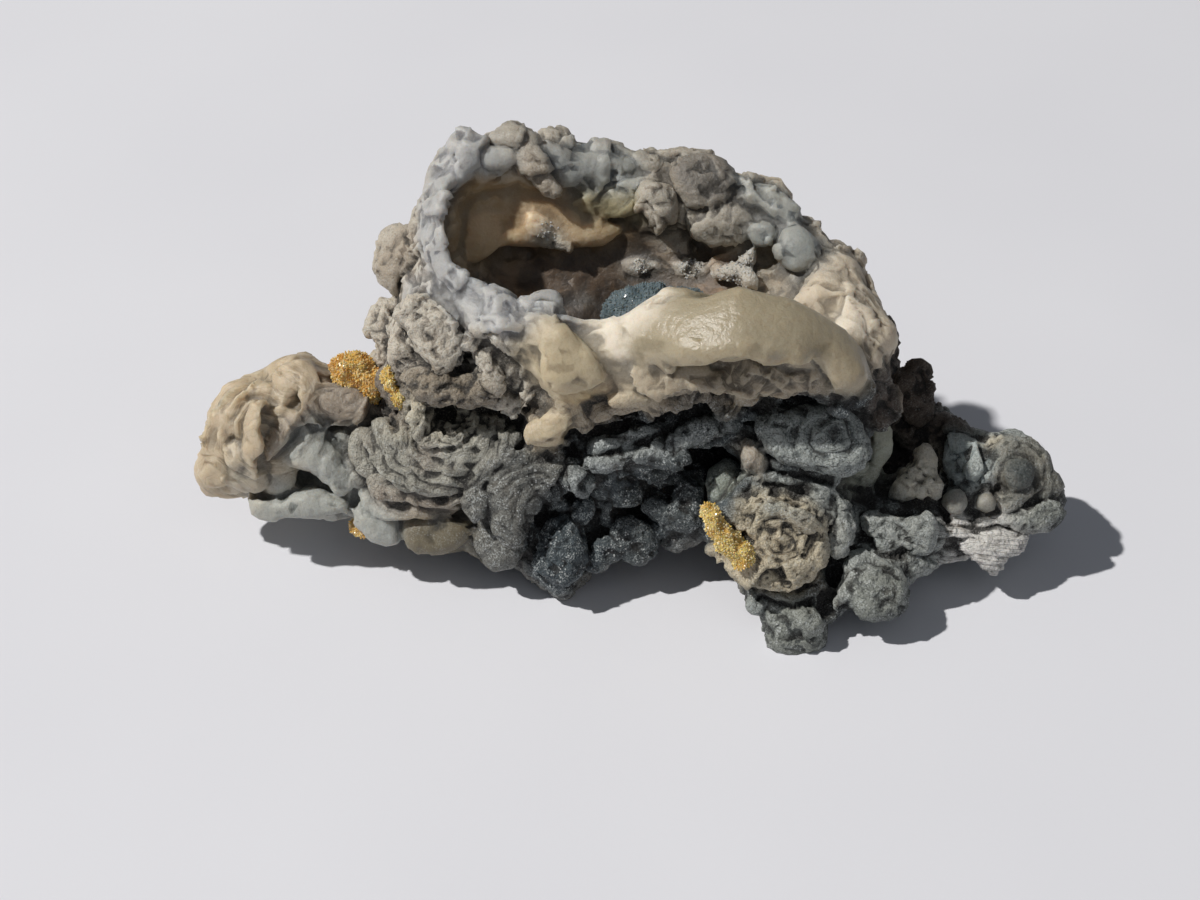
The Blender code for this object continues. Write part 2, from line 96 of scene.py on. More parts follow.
# The smooth lip: pixels along it, how far it reaches from them before and after the plates are joined, and
# how often it is evened each time.
LIP_COURSE = ((640, 345), (670, 325), (710, 318), (750, 316), (790, 320), (820, 334), (840, 352), (850, 370),
              (850, 384))
LIP_REACH, LIP_FINE_REACH = 5.0, 3.6
LIP_CALMING, LIP_FINE_CALMING = 90, 60

# Relief in mm: how high it stands, then the size or the step that it repeats at.
SWELL = (0.12, 5.0)
SHELLS = (0.46, 1.9)
LAMINAE = (0.30, 0.8)
UNEVENNESS = (0.38, 5.0)
SMALL_UNEVENNESS = (0.14, 1.9)
SIDE_KNOBS = (0.30, 2.1)
SMALL_SIDE_KNOBS = (0.14, 1.0)
FOLDS = (0.16, 2.0)
GRAIN = (0.09, 0.8)
RING_SHARE = 0.85  # of the height that the tables of rings give
GROWTH_SPREAD = 12.0  # from one middle of the shells' growth to the next

# Broken faces: height and size in mm, how much of a face is tilt, and a shift that keeps the sizes apart.
LARGE_CHIPS = (0.95, 7.0, 0.85, 90.0)
MIDDLE_CHIPS = (0.60, 4.0, 0.80, 50.0)
SMALL_CHIPS = (0.30, 2.1, 0.80, 20.0)
FINE_CHIPS = (0.16, 1.0, 0.80, 60.0)

# Lumps and leaves of the stone: kind, half thickness, how far it stands out in mm, how much it leans with the
# surface rather than with the view, then its outline as pixels of the photo.
LUMPS = {
    "rim_peak": ("lilac", 1.5, 0.0, 0.0, (
        (427, 215), (431, 190), (437, 172), (446, 150), (453, 134), (462, 125), (470, 130), (478, 133),
        (487, 143), (484, 158), (474, 170), (458, 184), (444, 205), (436, 222))),
    "rim_crest": ("rim_grey", 1.9, 0.0, 0.0, (
        (488, 142), (494, 135), (501, 131), (505, 125), (512, 120), (519, 124), (528, 125), (537, 127),
        (541, 140), (532, 150), (512, 152), (496, 150))),
    "rim_knob": ("rim_grey", 2.3, 0.0, 0.0, (
        (536, 130), (545, 125), (556, 123), (567, 127), (575, 134), (585, 145), (582, 160), (565, 168),
        (548, 160), (538, 145))),
    "inner_slope": ("glow", 1.6, 1.2, 0.4, (
        (468, 190), (486, 176), (510, 168), (530, 172), (548, 186), (566, 200), (590, 212), (614, 222),
        (622, 234), (604, 244), (580, 247), (560, 247), (542, 247), (526, 246), (510, 246), (498, 248),
        (488, 254), (474, 262), (460, 258), (456, 236), (460, 210))),
    "wall_fold": ("knob_tan", 1.2, 0.7, 0.4, (
        (514, 150), (526, 146), (538, 150), (548, 162), (556, 178), (562, 194), (552, 202), (538, 194),
        (526, 180), (517, 164))),
    "white_droplet": ("white_milk", 1.3, 0.8, 0.3, (
        (477, 152), (480, 162), (490, 170), (500, 171), (510, 167), (516, 160), (512, 150), (495, 146),
        (483, 147))),
    "blue_mass": ("rim_cloud", 1.2, 0.4, 0.3, (
        (560, 140), (590, 142), (620, 146), (640, 158), (640, 185), (628, 205), (606, 216), (584, 208),
        (566, 190), (556, 165))),
    "yellow_mass": ("yellow_milk", 0.6, 0.2, 0.6, (
        (572, 200), (590, 192), (612, 190), (632, 192), (642, 200), (632, 212), (612, 220), (592, 216),
        (578, 210))),
    "icicle": ("rim_grey", 1.8, 1.4, 0.2, (
        (640, 190), (650, 182), (668, 185), (675, 196), (672, 212), (668, 228), (659, 240), (652, 236),
        (650, 220), (640, 206))),
    "rim_notch": ("rim_grey", 1.4, 0.0, 0.0, (
        (636, 150), (646, 142), (654, 144), (655, 152), (661, 145), (680, 147), (700, 152), (718, 156),
        (700, 168), (670, 170), (645, 165))),
    "dark_mass": ("dark_clear", 1.3, 0.5, 0.3, (
        (672, 160), (700, 154), (728, 160), (740, 178), (732, 198), (710, 208), (688, 202), (674, 184))),
    "folded_mass": ("rim_grey", 1.2, 0.5, 0.4, (
        (690, 207), (715, 202), (740, 207), (755, 220), (748, 240), (725, 247), (700, 243), (690, 225))),
    "rim_shoulder": ("rim_cloud", 1.9, 0.2, 0.0, (
        (735, 172), (750, 180), (775, 182), (795, 200), (808, 220), (800, 235), (780, 225), (760, 212),
        (742, 195))),
    "small_blob": ("blue_milk", 1.2, 0.9, 0.4, (
        (747, 226), (756, 220), (770, 222), (776, 234), (770, 246), (757, 248), (748, 240))),
    "great_blob": ("blue_milk", 1.7, 1.2, 0.4, (
        (775, 250), (779, 236), (790, 228), (804, 228), (817, 238), (820, 252), (813, 265), (798, 272),
        (783, 266))),
    "shelf": ("quartz_grey", 1.1, 1.2, 0.5, (
        (710, 268), (722, 265), (745, 267), (760, 274), (766, 284), (750, 286), (730, 281), (712, 278))),
    "small_pyramid": ("quartz_grey", 1.2, 1.0, 0.3, (
        (732, 262), (742, 254), (752, 247), (760, 252), (757, 265), (750, 271), (738, 268))),
    "quartz_wedge": ("quartz_grey", 0.9, 1.9, 0.4, (
        (527, 212), (540, 213), (552, 224), (564, 236), (572, 248), (552, 251), (538, 244), (527, 230))),
    "left_boulder": ("knob_tan", 2.4, 0.6, 0.3, (
        (374, 268), (380, 245), (392, 232), (405, 225), (420, 222), (430, 226), (428, 238), (415, 254),
        (405, 276), (398, 292), (388, 290), (378, 280))),
    "front_wall": ("lilac", 1.3, 0.0, 0.0, (
        (450, 262), (465, 280), (480, 294), (488, 290), (495, 286), (505, 292), (515, 299), (527, 302),
        (537, 299), (550, 294), (562, 302), (572, 320), (582, 331), (575, 342), (555, 332), (530, 322),
        (500, 316), (475, 308), (455, 290), (444, 272))),
    "pale_block": ("cream_clear", 1.4, 0.9, 0.4, (
        (545, 330), (560, 322), (572, 326), (590, 345), (605, 367), (605, 382), (587, 391), (567, 396),
        (548, 390), (540, 370), (540, 350))),
    "under_lip_band": ("ledge_clear", 1.0, 0.3, 0.3, (
        (630, 370), (655, 362), (700, 359), (740, 352), (772, 359), (812, 363), (818, 378), (808, 390),
        (780, 394), (750, 398), (712, 392), (672, 392), (640, 396))),
    "quartz_patch_left": ("quartz_grey", 0.6, 0.3, 0.9, (
        (622, 264), (632, 258), (648, 257), (660, 263), (657, 272), (643, 276), (628, 273))),
    "quartz_patch_right": ("quartz_grey", 0.6, 0.3, 0.9, (
        (670, 268), (680, 259), (696, 257), (710, 264), (704, 276), (686, 279))),
    "under_lip_leaf": ("ledge_clear", 1.3, 1.2, 0.3, (
        (710, 372), (725, 366), (750, 368), (775, 364), (785, 370), (780, 380), (767, 395), (750, 405),
        (735, 400), (722, 390), (712, 382))),
    "under_lip_left": ("ledge_clear", 1.3, 1.1, 0.3, (
        (640, 374), (660, 366), (690, 366), (710, 373), (700, 384), (680, 390), (660, 398), (645, 396),
        (636, 384))),
    "ledge_scab": ("cream", 1.0, 1.0, 0.3, (
        (608, 402), (620, 390), (632, 382), (645, 388), (648, 398), (634, 404), (618, 406))),
    "ledge_left": ("ledge", 1.2, 1.0, 0.3, (
        (594, 404), (618, 396), (640, 400), (650, 404), (632, 412), (612, 417), (594, 420))),
    "drip": ("drip_shell", 1.3, 0.8, 0.4, (
        (523, 432), (530, 420), (545, 412), (560, 410), (572, 414), (574, 422), (566, 434), (562, 444),
        (552, 449), (540, 449), (528, 446))),
    "curled_shell": ("cluster", 2.1, 1.1, 0.4, (
        (398, 318), (402, 300), (415, 292), (432, 298), (446, 312), (456, 328), (462, 345), (458, 362),
        (446, 370), (434, 368), (420, 352), (408, 336))),
    "cluster_ledge": ("cluster_ledge", 1.7, 1.1, 0.3, (
        (398, 378), (410, 368), (432, 366), (455, 372), (478, 372), (495, 376), (498, 390), (494, 402),
        (480, 406), (455, 407), (432, 403), (415, 397), (404, 390))),
    "fold": ("cluster", 1.3, 0.9, 0.4, (
        (460, 340), (475, 336), (488, 345), (497, 362), (503, 380), (500, 395), (490, 390), (480, 372),
        (468, 356))),
    "cluster_left": ("cluster", 1.9, 0.5, 0.4, (
        (367, 335), (366, 318), (376, 298), (390, 296), (400, 306), (396, 325), (402, 345), (390, 356),
        (376, 350))),
    "dark_stub": ("cluster_dark", 1.3, 0.8, 0.4, (
        (374, 372), (384, 362), (392, 376), (402, 390), (408, 404), (400, 410), (388, 404), (376, 390))),
    "rosette_leaf": ("rosette", 1.4, 0.8, 0.5, (
        (292, 427), (300, 405), (315, 392), (330, 382), (345, 378), (358, 380), (369, 388), (373, 398),
        (368, 410), (360, 418), (345, 422), (330, 420), (312, 420), (300, 424))),
    "petal_top": ("tan", 1.2, 0.5, 0.5, (
        (285, 399), (275, 388), (272, 376), (284, 365), (300, 363), (311, 370), (308, 380), (313, 388),
        (298, 393))),
    "petal_middle": ("tan", 1.5, 0.5, 0.5, (
        (238, 404), (252, 391), (264, 380), (272, 388), (276, 402), (270, 420), (262, 440), (250, 446),
        (240, 440), (228, 436), (227, 422))),
    "petal_low": ("tan_grey", 1.5, 0.4, 0.5, (
        (228, 440), (242, 446), (252, 452), (262, 462), (268, 478), (262, 490), (246, 494), (232, 490),
        (222, 478), (218, 460), (220, 446))),
    "petal_inner": ("rosette", 1.1, 0.5, 0.5, (
        (264, 440), (276, 420), (290, 410), (300, 415), (296, 425), (289, 438), (281, 447), (274, 456),
        (266, 462))),
    "petal_outer": ("tan", 1.7, 0.1, 0.3, (
        (197, 465), (203, 446), (212, 428), (224, 408), (240, 390), (252, 382), (246, 396), (232, 412),
        (222, 430), (228, 450), (226, 470), (226, 488), (206, 487))),
    "grey_leaf": ("pale_blue", 1.2, 0.7, 0.5, (
        (292, 432), (302, 424), (318, 421), (330, 424), (330, 438), (338, 450), (344, 465), (352, 478),
        (350, 492), (338, 498), (328, 486), (318, 478), (312, 470), (300, 468), (288, 466), (282, 455),
        (284, 442))),
    "grey_sill": ("pale_blue", 1.9, 0.5, 0.4, (
        (246, 496), (262, 500), (285, 496), (310, 488), (325, 492), (345, 500), (356, 508), (336, 517),
        (309, 519), (284, 518), (265, 519), (250, 512))),
    "leaf_tall": ("shell", 1.1, 0.7, 0.5, (
        (349, 436), (356, 428), (366, 428), (374, 444), (384, 460), (396, 471), (407, 484), (395, 486),
        (375, 480), (362, 476), (354, 462), (349, 448))),
    "leaf_next": ("shell", 1.1, 0.9, 0.5, (
        (371, 422), (380, 418), (388, 424), (388, 436), (396, 448), (402, 462), (394, 466), (384, 456),
        (375, 440))),
    "leaf_smooth": ("shell", 1.2, 1.2, 0.5, (
        (410, 491), (424, 480), (440, 474), (456, 468), (470, 462), (477, 468), (474, 478), (466, 486),
        (454, 493), (438, 497), (422, 496))),
    "leaf_low": ("shell_tan", 1.1, 0.8, 0.5, (
        (368, 484), (390, 480), (408, 486), (424, 496), (442, 502), (458, 504), (459, 510), (441, 510),
        (421, 512), (397, 511), (378, 502))),
    "clear_bulge": ("clear_tan", 1.9, 0.6, 0.4, (
        (403, 520), (420, 514), (440, 514), (460, 518), (473, 524), (472, 536), (460, 547), (444, 554),
        (427, 555), (412, 550), (403, 540))),
    "bulge_left": ("pale_blue", 1.6, 0.4, 0.4, (
        (352, 508), (366, 500), (384, 508), (398, 522), (402, 540), (392, 546), (372, 544), (360, 532),
        (352, 520))),
    "great_band": ("shell_dark", 1.8, 0.9, 0.5, (
        (526, 448), (540, 456), (552, 462), (560, 468), (552, 476), (541, 486), (534, 500), (527, 514),
        (523, 530), (526, 545), (515, 552), (500, 545), (490, 530), (490, 512), (486, 498), (487, 484),
        (496, 468), (508, 458))),
    "great_strip": ("shell_dark", 1.5, 0.7, 0.5, (
        (514, 430), (522, 438), (508, 452), (494, 464), (485, 480), (484, 500), (486, 514), (476, 526),
        (468, 518), (461, 502), (466, 490), (474, 476), (488, 462), (502, 446))),
    "great_foot": ("shell_dark", 1.9, 0.6, 0.5, (
        (474, 530), (486, 520), (505, 524), (516, 536), (524, 552), (518, 566), (500, 570), (486, 566),
        (475, 548))),
    "foot_dome": ("slate_blue", 3.0, 0.6, 0.4, (
        (532, 566), (534, 548), (545, 528), (558, 516), (574, 518), (584, 534), (588, 555), (582, 574),
        (565, 585), (548, 582))),
    "dome_knob": ("slate_blue", 1.5, 0.9, 0.5, (
        (568, 512), (572, 500), (584, 496), (592, 506), (590, 519), (578, 524))),
    "low_lump": ("slate_blue", 1.9, 0.5, 0.4, (
        (584, 570), (586, 550), (600, 538), (616, 536), (630, 545), (622, 556), (606, 562), (594, 572))),
    "low_shell": ("slate", 1.9, 0.6, 0.4, (
        (612, 530), (620, 518), (636, 520), (650, 530), (655, 545), (648, 560), (636, 566), (624, 556),
        (614, 545))),
    "dark_shell": ("slate", 1.7, 0.9, 0.5, (
        (640, 505), (652, 498), (668, 503), (680, 490), (690, 475), (700, 486), (705, 505), (698, 525),
        (684, 534), (668, 530), (655, 518))),
    "rope_high": ("frost", 1.3, 0.9, 0.5, (
        (588, 446), (594, 438), (606, 436), (622, 430), (640, 425), (655, 424), (660, 430), (645, 438),
        (628, 446), (610, 450), (598, 456), (590, 454))),
    "rope_low": ("frost", 1.4, 0.9, 0.5, (
        (584, 462), (600, 457), (620, 453), (640, 447), (660, 439), (668, 445), (655, 456), (638, 463),
        (620, 470), (600, 473), (588, 471))),
    "rope_far": ("frost", 1.4, 0.9, 0.5, (
        (668, 436), (690, 424), (715, 418), (738, 420), (740, 430), (718, 434), (698, 442), (680, 450),
        (668, 448))),
    "frost_knot": ("frost", 1.4, 0.8, 0.5, (
        (560, 480), (566, 470), (580, 468), (592, 476), (596, 488), (586, 494), (570, 490))),
    "coil_back": ("coil_grey", 2.6, 1.7, 0.4, (
        (756, 420), (775, 410), (800, 405), (830, 402), (850, 410), (866, 430), (870, 450), (860, 470),
        (840, 478), (815, 470), (790, 464), (770, 455), (758, 440))),
    "coil_edge": ("green_clear", 1.5, 0.5, 0.3, (
        (866, 398), (884, 402), (893, 430), (892, 455), (880, 472), (868, 488), (858, 484), (868, 462),
        (872, 440))),
    "green_knob": ("green_grey", 2.0, 0.9, 0.4, (
        (704, 490), (706, 474), (718, 462), (734, 462), (744, 474), (744, 492), (732, 502), (716, 506))),
    "tan_peg": ("knob_tan", 1.7, 1.3, 0.3, (
        (740, 450), (741, 441), (752, 440), (762, 450), (767, 464), (764, 476), (752, 472), (744, 462))),
    "pale_plate": ("plate_grey", 1.9, 2.6, 0.4, (
        (790, 480), (809, 483), (828, 488), (847, 502), (857, 516), (859, 530), (851, 547), (837, 559),
        (828, 545), (830, 525), (820, 505), (800, 492))),
    "tan_dome": ("coil_tan", 2.3, 1.0, 0.5, (
        (735, 502), (760, 488), (790, 492), (812, 506), (825, 522), (827, 545), (822, 565), (808, 584),
        (790, 592), (765, 590), (742, 580), (725, 565), (735, 540))),
    "foot_knob": ("foot_grey", 3.2, 0.4, 0.3, (
        (761, 612), (770, 602), (790, 597), (812, 600), (824, 610), (828, 630), (824, 648), (808, 656),
        (780, 656), (766, 645))),
    "foot_stub": ("coil_grey", 1.6, 0.2, 0.3, (
        (744, 602), (750, 592), (762, 596), (768, 606), (760, 616), (748, 612))),
    "foot_right": ("foot_grey", 2.6, 0.8, 0.4, (
        (848, 602), (852, 582), (866, 570), (884, 570), (902, 580), (908, 596), (900, 612), (880, 620),
        (860, 618))),
    "foot_collar": ("plate_grey", 1.3, 0.5, 0.4, (
        (845, 560), (862, 550), (885, 555), (905, 568), (912, 586), (900, 582), (885, 570), (860, 572),
        (848, 590), (836, 612), (829, 602), (838, 580))),
    "slab": ("plate_grey", 1.9, 1.2, 0.4, (
        (863, 514), (880, 512), (900, 516), (920, 514), (932, 518), (934, 545), (918, 555), (900, 552),
        (882, 543), (864, 530))),
    "thin_triangle": ("plate_grey", 0.8, 0.5, 0.4, (
        (887, 549), (905, 552), (925, 560), (940, 566), (925, 574), (908, 582), (896, 566))),
    "spike": ("spike_tan", 1.8, 1.5, 0.2, (
        (925, 447), (932, 462), (936, 480), (938, 496), (920, 500), (905, 498), (890, 496), (892, 486),
        (904, 472), (915, 462))),
    "blue_panel": ("panel_blue", 1.5, 0.7, 0.5, (
        (942, 440), (950, 430), (965, 434), (980, 440), (988, 455), (990, 475), (980, 486), (962, 486),
        (948, 478), (944, 460))),
    "peg_left": ("knob_clear", 1.3, 1.2, 0.5, (
        (941, 502), (943, 494), (953, 489), (964, 493), (968, 503), (962, 512), (950, 514))),
    "peg_right": ("knob_clear", 1.2, 1.0, 0.5, (
        (975, 503), (979, 495), (989, 493), (997, 499), (996, 509), (986, 514), (977, 511))),
    "right_disc": ("disc_grey", 1.9, 0.4, 0.4, (
        (992, 445), (1008, 436), (1030, 437), (1048, 450), (1056, 468), (1066, 488), (1052, 498),
        (1034, 500), (1016, 508), (1002, 512), (998, 495), (1000, 475))),
    "blue_dome": ("dome_blue", 1.7, 1.3, 0.5, (
        (1004, 470), (1010, 459), (1024, 458), (1033, 466), (1034, 480), (1024, 490), (1010, 490),
        (1004, 482))),
    "disc_low": ("foot_grey", 1.7, 0.4, 0.4, (
        (1004, 518), (1020, 508), (1040, 500), (1056, 498), (1064, 508), (1056, 522), (1040, 532),
        (1020, 532))),
    "layered_foot": ("white_layers", 1.9, 0.4, 0.3, (
        (957, 542), (975, 532), (995, 528), (1015, 532), (1030, 538), (1022, 552), (1008, 562), (995, 577),
        (980, 566), (966, 556))),
    "rock_disc": ("dark_rock", 1.8, 0.7, 0.4, (
        (866, 400), (876, 388), (890, 384), (900, 392), (900, 410), (890, 425), (876, 430), (866, 418))),
    "rock_back": ("dark_rock", 2.2, 0.2, 0.2, (
        (893, 388), (900, 372), (915, 366), (928, 374), (932, 395), (928, 412), (915, 420), (902, 410))),
    "lip_end": ("wax_rose", 1.7, 0.3, 0.4, (
        (806, 336), (824, 336), (842, 344), (858, 354), (868, 366), (871, 379), (865, 390), (851, 396),
        (837, 393), (830, 382), (824, 368), (812, 354))),
}

# Free edges of shells, as pixels of the photo: the side of the line on which the shell lies, the shell's
# width, how far its edge stands up and how far it hangs over in mm, then the line.
PLATES = (
    # the tan lobe and its rosettes
    (1, 2.6, 1.3, 0.5, ((263, 380), (252, 391), (238, 404), (227, 422), (227, 438), (238, 456), (242, 470))),
    (1, 2.4, 1.1, 0.6, ((292, 429), (300, 424), (312, 420), (323, 420), (337, 419), (352, 421), (363, 418),
                        (368, 409), (373, 398), (369, 387), (358, 381))),
    (1, 2.2, 1.2, 0.5, ((247, 384), (232, 400), (217, 424), (211, 446), (216, 466), (228, 484))),
    (1, 2.4, 1.2, 0.5, ((287, 362), (304, 372), (311, 388), (304, 404), (288, 420), (274, 440))),
    (-1, 2.0, 1.2, 0.4, ((267, 402), (260, 415), (258, 427), (262, 440), (256, 451), (258, 464), (258, 478))),
    (1, 2.0, 0.7, 0.5, ((333, 448), (341, 460), (352, 474), (360, 486))),
    # the nested shells
    (1, 2.2, 1.2, 0.7, ((369, 429), (376, 444), (385, 460), (396, 471), (408, 483))),
    (1, 2.8, 1.5, 0.9, ((372, 484), (392, 487), (410, 491), (424, 496), (440, 497), (456, 492), (468, 484),
                        (476, 470))),
    (1, 2.6, 1.5, 1.0, ((376, 440), (384, 456), (396, 470), (414, 477), (434, 473), (452, 466), (470, 462),
                        (484, 460), (498, 452), (510, 441), (518, 428))),
    (1, 2.0, 1.1, 0.7, ((386, 426), (389, 441), (396, 455), (407, 463), (424, 466), (444, 463), (464, 456),
                        (480, 450))),
    (1, 2.0, 1.1, 0.6, ((399, 424), (401, 441), (411, 453), (428, 458), (446, 457), (462, 450))),
    (1, 1.8, 1.2, 0.7, ((413, 405), (416, 421), (422, 434), (433, 444), (448, 447), (462, 443), (471, 430))),
    (1, 1.4, 0.7, 0.4, ((466, 420), (478, 432), (488, 436), (500, 428), (506, 418))),
    (1, 1.4, 0.7, 0.4, ((468, 440), (482, 445), (496, 440), (508, 428))),
    (1, 2.2, 1.1, 0.8, ((360, 490), (374, 502), (396, 510), (420, 511), (441, 509), (460, 508))),
    # the great shell
    (1, 2.2, 1.0, 0.5, ((526, 448), (510, 457), (496, 468), (488, 482), (486, 498), (490, 512))),
    (-1, 2.0, 0.9, 0.8, ((562, 466), (551, 476), (541, 486), (534, 500), (526, 516), (523, 532), (528, 552))),
    # thin plates of the dark base
    (1, 1.4, 1.1, 0.6, ((684, 474), (678, 486), (675, 503), (680, 520))),
    (-1, 1.4, 1.1, 0.6, ((694, 470), (700, 486), (700, 505), (694, 522))),
    (1, 1.6, 0.9, 0.6, ((636, 541), (644, 533), (658, 529), (672, 534))),
    (1, 1.6, 0.8, 0.5, ((696, 440), (712, 436), (730, 438), (742, 448))),
    (1, 1.4, 0.8, 0.4, ((620, 476), (640, 472), (658, 470), (676, 462), (690, 450))),
    # the coil of rings under the lip's right end
    (1, 1.8, 0.8, 0.4, ((770, 440), (784, 448), (800, 448), (812, 456))),
    (-1, 2.0, 0.8, 0.4, ((836, 402), (848, 412), (856, 426), (866, 440), (862, 456))),
    (1, 1.4, 0.7, 0.3, ((812, 430), (820, 444), (836, 446), (842, 434))),
    # the front coil with its tan dome
    (-1, 1.6, 0.8, 0.3, ((790, 508), (804, 516), (815, 528), (816, 546))),
    (1, 1.6, 0.8, 0.4, ((748, 578), (764, 581), (784, 579), (804, 574))),
    (1, 1.8, 0.7, 0.4, ((736, 492), (750, 486), (768, 482), (786, 484), (802, 482))),
    # the right lobe
    (-1, 1.4, 0.8, 0.3, ((958, 432), (964, 446), (966, 462), (962, 480))),
    (-1, 1.4, 0.7, 0.3, ((974, 438), (979, 452), (980, 466), (976, 480))),
    (1, 1.0, 0.7, 0.5, ((956, 537), (972, 530), (990, 524), (1008, 522), (1028, 522))),
    (1, 1.0, 0.7, 0.5, ((960, 544), (976, 537), (992, 532), (1010, 530), (1030, 530))),
    (1, 1.0, 0.7, 0.5, ((965, 551), (981, 544), (998, 539), (1014, 537), (1028, 538))),
    (1, 1.0, 0.7, 0.5, ((971, 558), (987, 551), (1002, 546), (1020, 545))),
    (1, 1.0, 0.7, 0.5, ((978, 565), (993, 558), (1008, 553), (1020, 552))),
    (1, 1.0, 0.7, 0.5, ((986, 571), (998, 565), (1010, 561))),
    # the cluster below the left of the bowl
    (-1, 1.8, 0.9, 0.5, ((432, 300), (446, 312), (456, 328), (462, 345), (458, 360), (446, 368))),
    (-1, 1.6, 0.8, 0.4, ((424, 312), (436, 324), (444, 340), (444, 356))),
    (1, 1.8, 0.8, 0.5, ((498, 402), (512, 410), (528, 404), (536, 396))),
    (1, 1.6, 0.7, 0.4, ((476, 334), (490, 326), (506, 326), (520, 332))),
    # the ledges under the lip
    (1, 3.2, 1.3, 1.2, ((574, 424), (594, 421), (614, 417), (634, 412), (648, 406), (665, 400), (682, 391),
                        (700, 388), (713, 390), (723, 400), (737, 407), (753, 407), (769, 395), (781, 383))),
    (1, 2.0, 0.8, 0.5, ((640, 386), (652, 378), (666, 374), (680, 376), (696, 370), (712, 374))),
    (1, 2.6, 0.9, 0.8, ((632, 370), (643, 371), (656, 361), (677, 355), (700, 356), (720, 350), (740, 347),
                        (757, 350), (772, 356), (792, 355), (812, 360))),
    # the wall behind
    (1, 1.6, 0.7, 0.4, ((590, 204), (604, 212), (618, 208), (630, 196))),
    (1, 1.6, 0.7, 0.4, ((694, 232), (706, 240), (720, 238), (734, 228), (744, 216))),
)

# Round knobs, as pixels of the photo, with their radius and how far they stand out, in mm.
KNOBS = (
    ((498, 543), 1.8, 0.9), ((328, 404), 1.3, 0.6), ((347, 402), 1.3, 0.6), ((1050, 486), 1.6, 0.9),
    ((627, 494), 1.9, 1.5), ((603, 492), 1.4, 0.9), ((552, 493), 1.4, 0.9), ((602, 504), 1.2, 0.8),
    ((640, 470), 1.8, 0.8), ((820, 190), 2.0, 0.9), ((776, 185), 1.8, 0.9), ((845, 240), 2.0, 0.9),
    ((318, 436), 1.5, 0.8), ((338, 436), 1.2, 0.7), ((229, 460), 2.2, 0.6), ((521, 573), 1.5, 0.8),
    ((826, 435), 1.6, 0.7), ((852, 449), 1.5, 0.8), ((804, 446), 1.3, 0.6), ((384, 530), 1.8, 0.6),
    ((598, 446), 1.3, 0.8), ((700, 470), 1.3, 0.7), ((660, 480), 1.5, 0.8), ((560, 505), 1.2, 0.8),
    ((686, 455), 1.4, 0.8), ((790, 425), 1.6, 0.6), ((875, 360), 1.8, 0.6), ((884, 300), 1.8, 0.6),
    ((905, 440), 1.6, 0.8), ((955, 470), 1.2, 0.8), ((972, 470), 1.1, 0.7), ((1056, 500), 1.3, 0.7),
)

# Pegs, spikes and peaks: pixel of the foot, reach in pixels, thickness at foot and tip in mm, and how far
# the tip stands out of the surface.
PEGS = (
    ((991, 478), (0, -3), 0.6, 0.5, 0.9), ((846, 242), (2, -8), 1.6, 1.0, 0.3),
    ((786, 196), (2, -8), 1.6, 1.0, 0.3), ((683, 480), (4, -14), 1.0, 0.5, 0.6),
    ((648, 152), (0, -8), 1.2, 0.7, 0.0), ((866, 254), (3, -6), 1.4, 0.9, 0.2),
)

# Dark pits and caves: pixel, radius and depth in mm.
PITS = (
    ((306, 476), 1.7, 2.2), ((545, 520), 2.2, 2.6), ((640, 518), 2.6, 2.4), ((622, 520), 1.8, 1.8),
    ((722, 456), 2.8, 3.6), ((738, 462), 2.0, 2.6), ((458, 350), 1.8, 2.4), ((376, 412), 2.0, 2.6),
    ((444, 418), 1.2, 1.2), ((765, 256), 1.8, 2.4), ((452, 440), 0.8, 0.8), ((842, 576), 2.0, 2.4),
    ((832, 604), 2.2, 2.6), ((868, 532), 1.6, 1.8), ((1000, 492), 1.2, 1.4), ((700, 250), 2.0, 1.6),
    ((902, 448), 2.4, 2.0), ((884, 480), 2.4, 1.6), ((600, 440), 1.0, 0.8), ((516, 408), 1.4, 1.4),
    ((574, 452), 1.4, 1.6), ((566, 500), 1.2, 1.4), ((692, 500), 1.2, 1.2), ((404, 436), 0.9, 1.0),
)

# Narrow creases: half width and depth in mm, then pixels along them.
CREASES = (
    (0.7, 1.2, ((398, 410), (430, 411), (470, 408), (510, 414))),
    (0.7, 1.2, ((486, 470), (474, 500), (472, 530), (480, 556))),
    (0.6, 1.0, ((536, 560), (534, 530), (544, 505), (546, 480))),
    (0.6, 1.0, ((650, 362), (680, 352), (700, 350), (740, 350), (780, 352), (806, 360), (830, 385))),
    (0.6, 1.0, ((740, 480), (780, 474), (820, 480), (860, 490))),
    (0.6, 1.0, ((760, 598), (790, 606), (820, 600))),
    (0.6, 1.0, ((862, 516), (864, 535), (880, 550), (905, 556))),
    (0.6, 1.0, ((940, 440), (946, 470), (942, 500), (948, 520))),
    (0.35, 0.35, ((850, 300), (866, 318), (872, 340), (886, 356))),
    (0.35, 0.35, ((864, 290), (878, 312), (884, 334))),
    (0.6, 1.0, ((430, 225), (422, 250), (405, 275), (396, 292))),
    (0.5, 0.8, ((480, 400), (486, 380), (478, 360))),
)

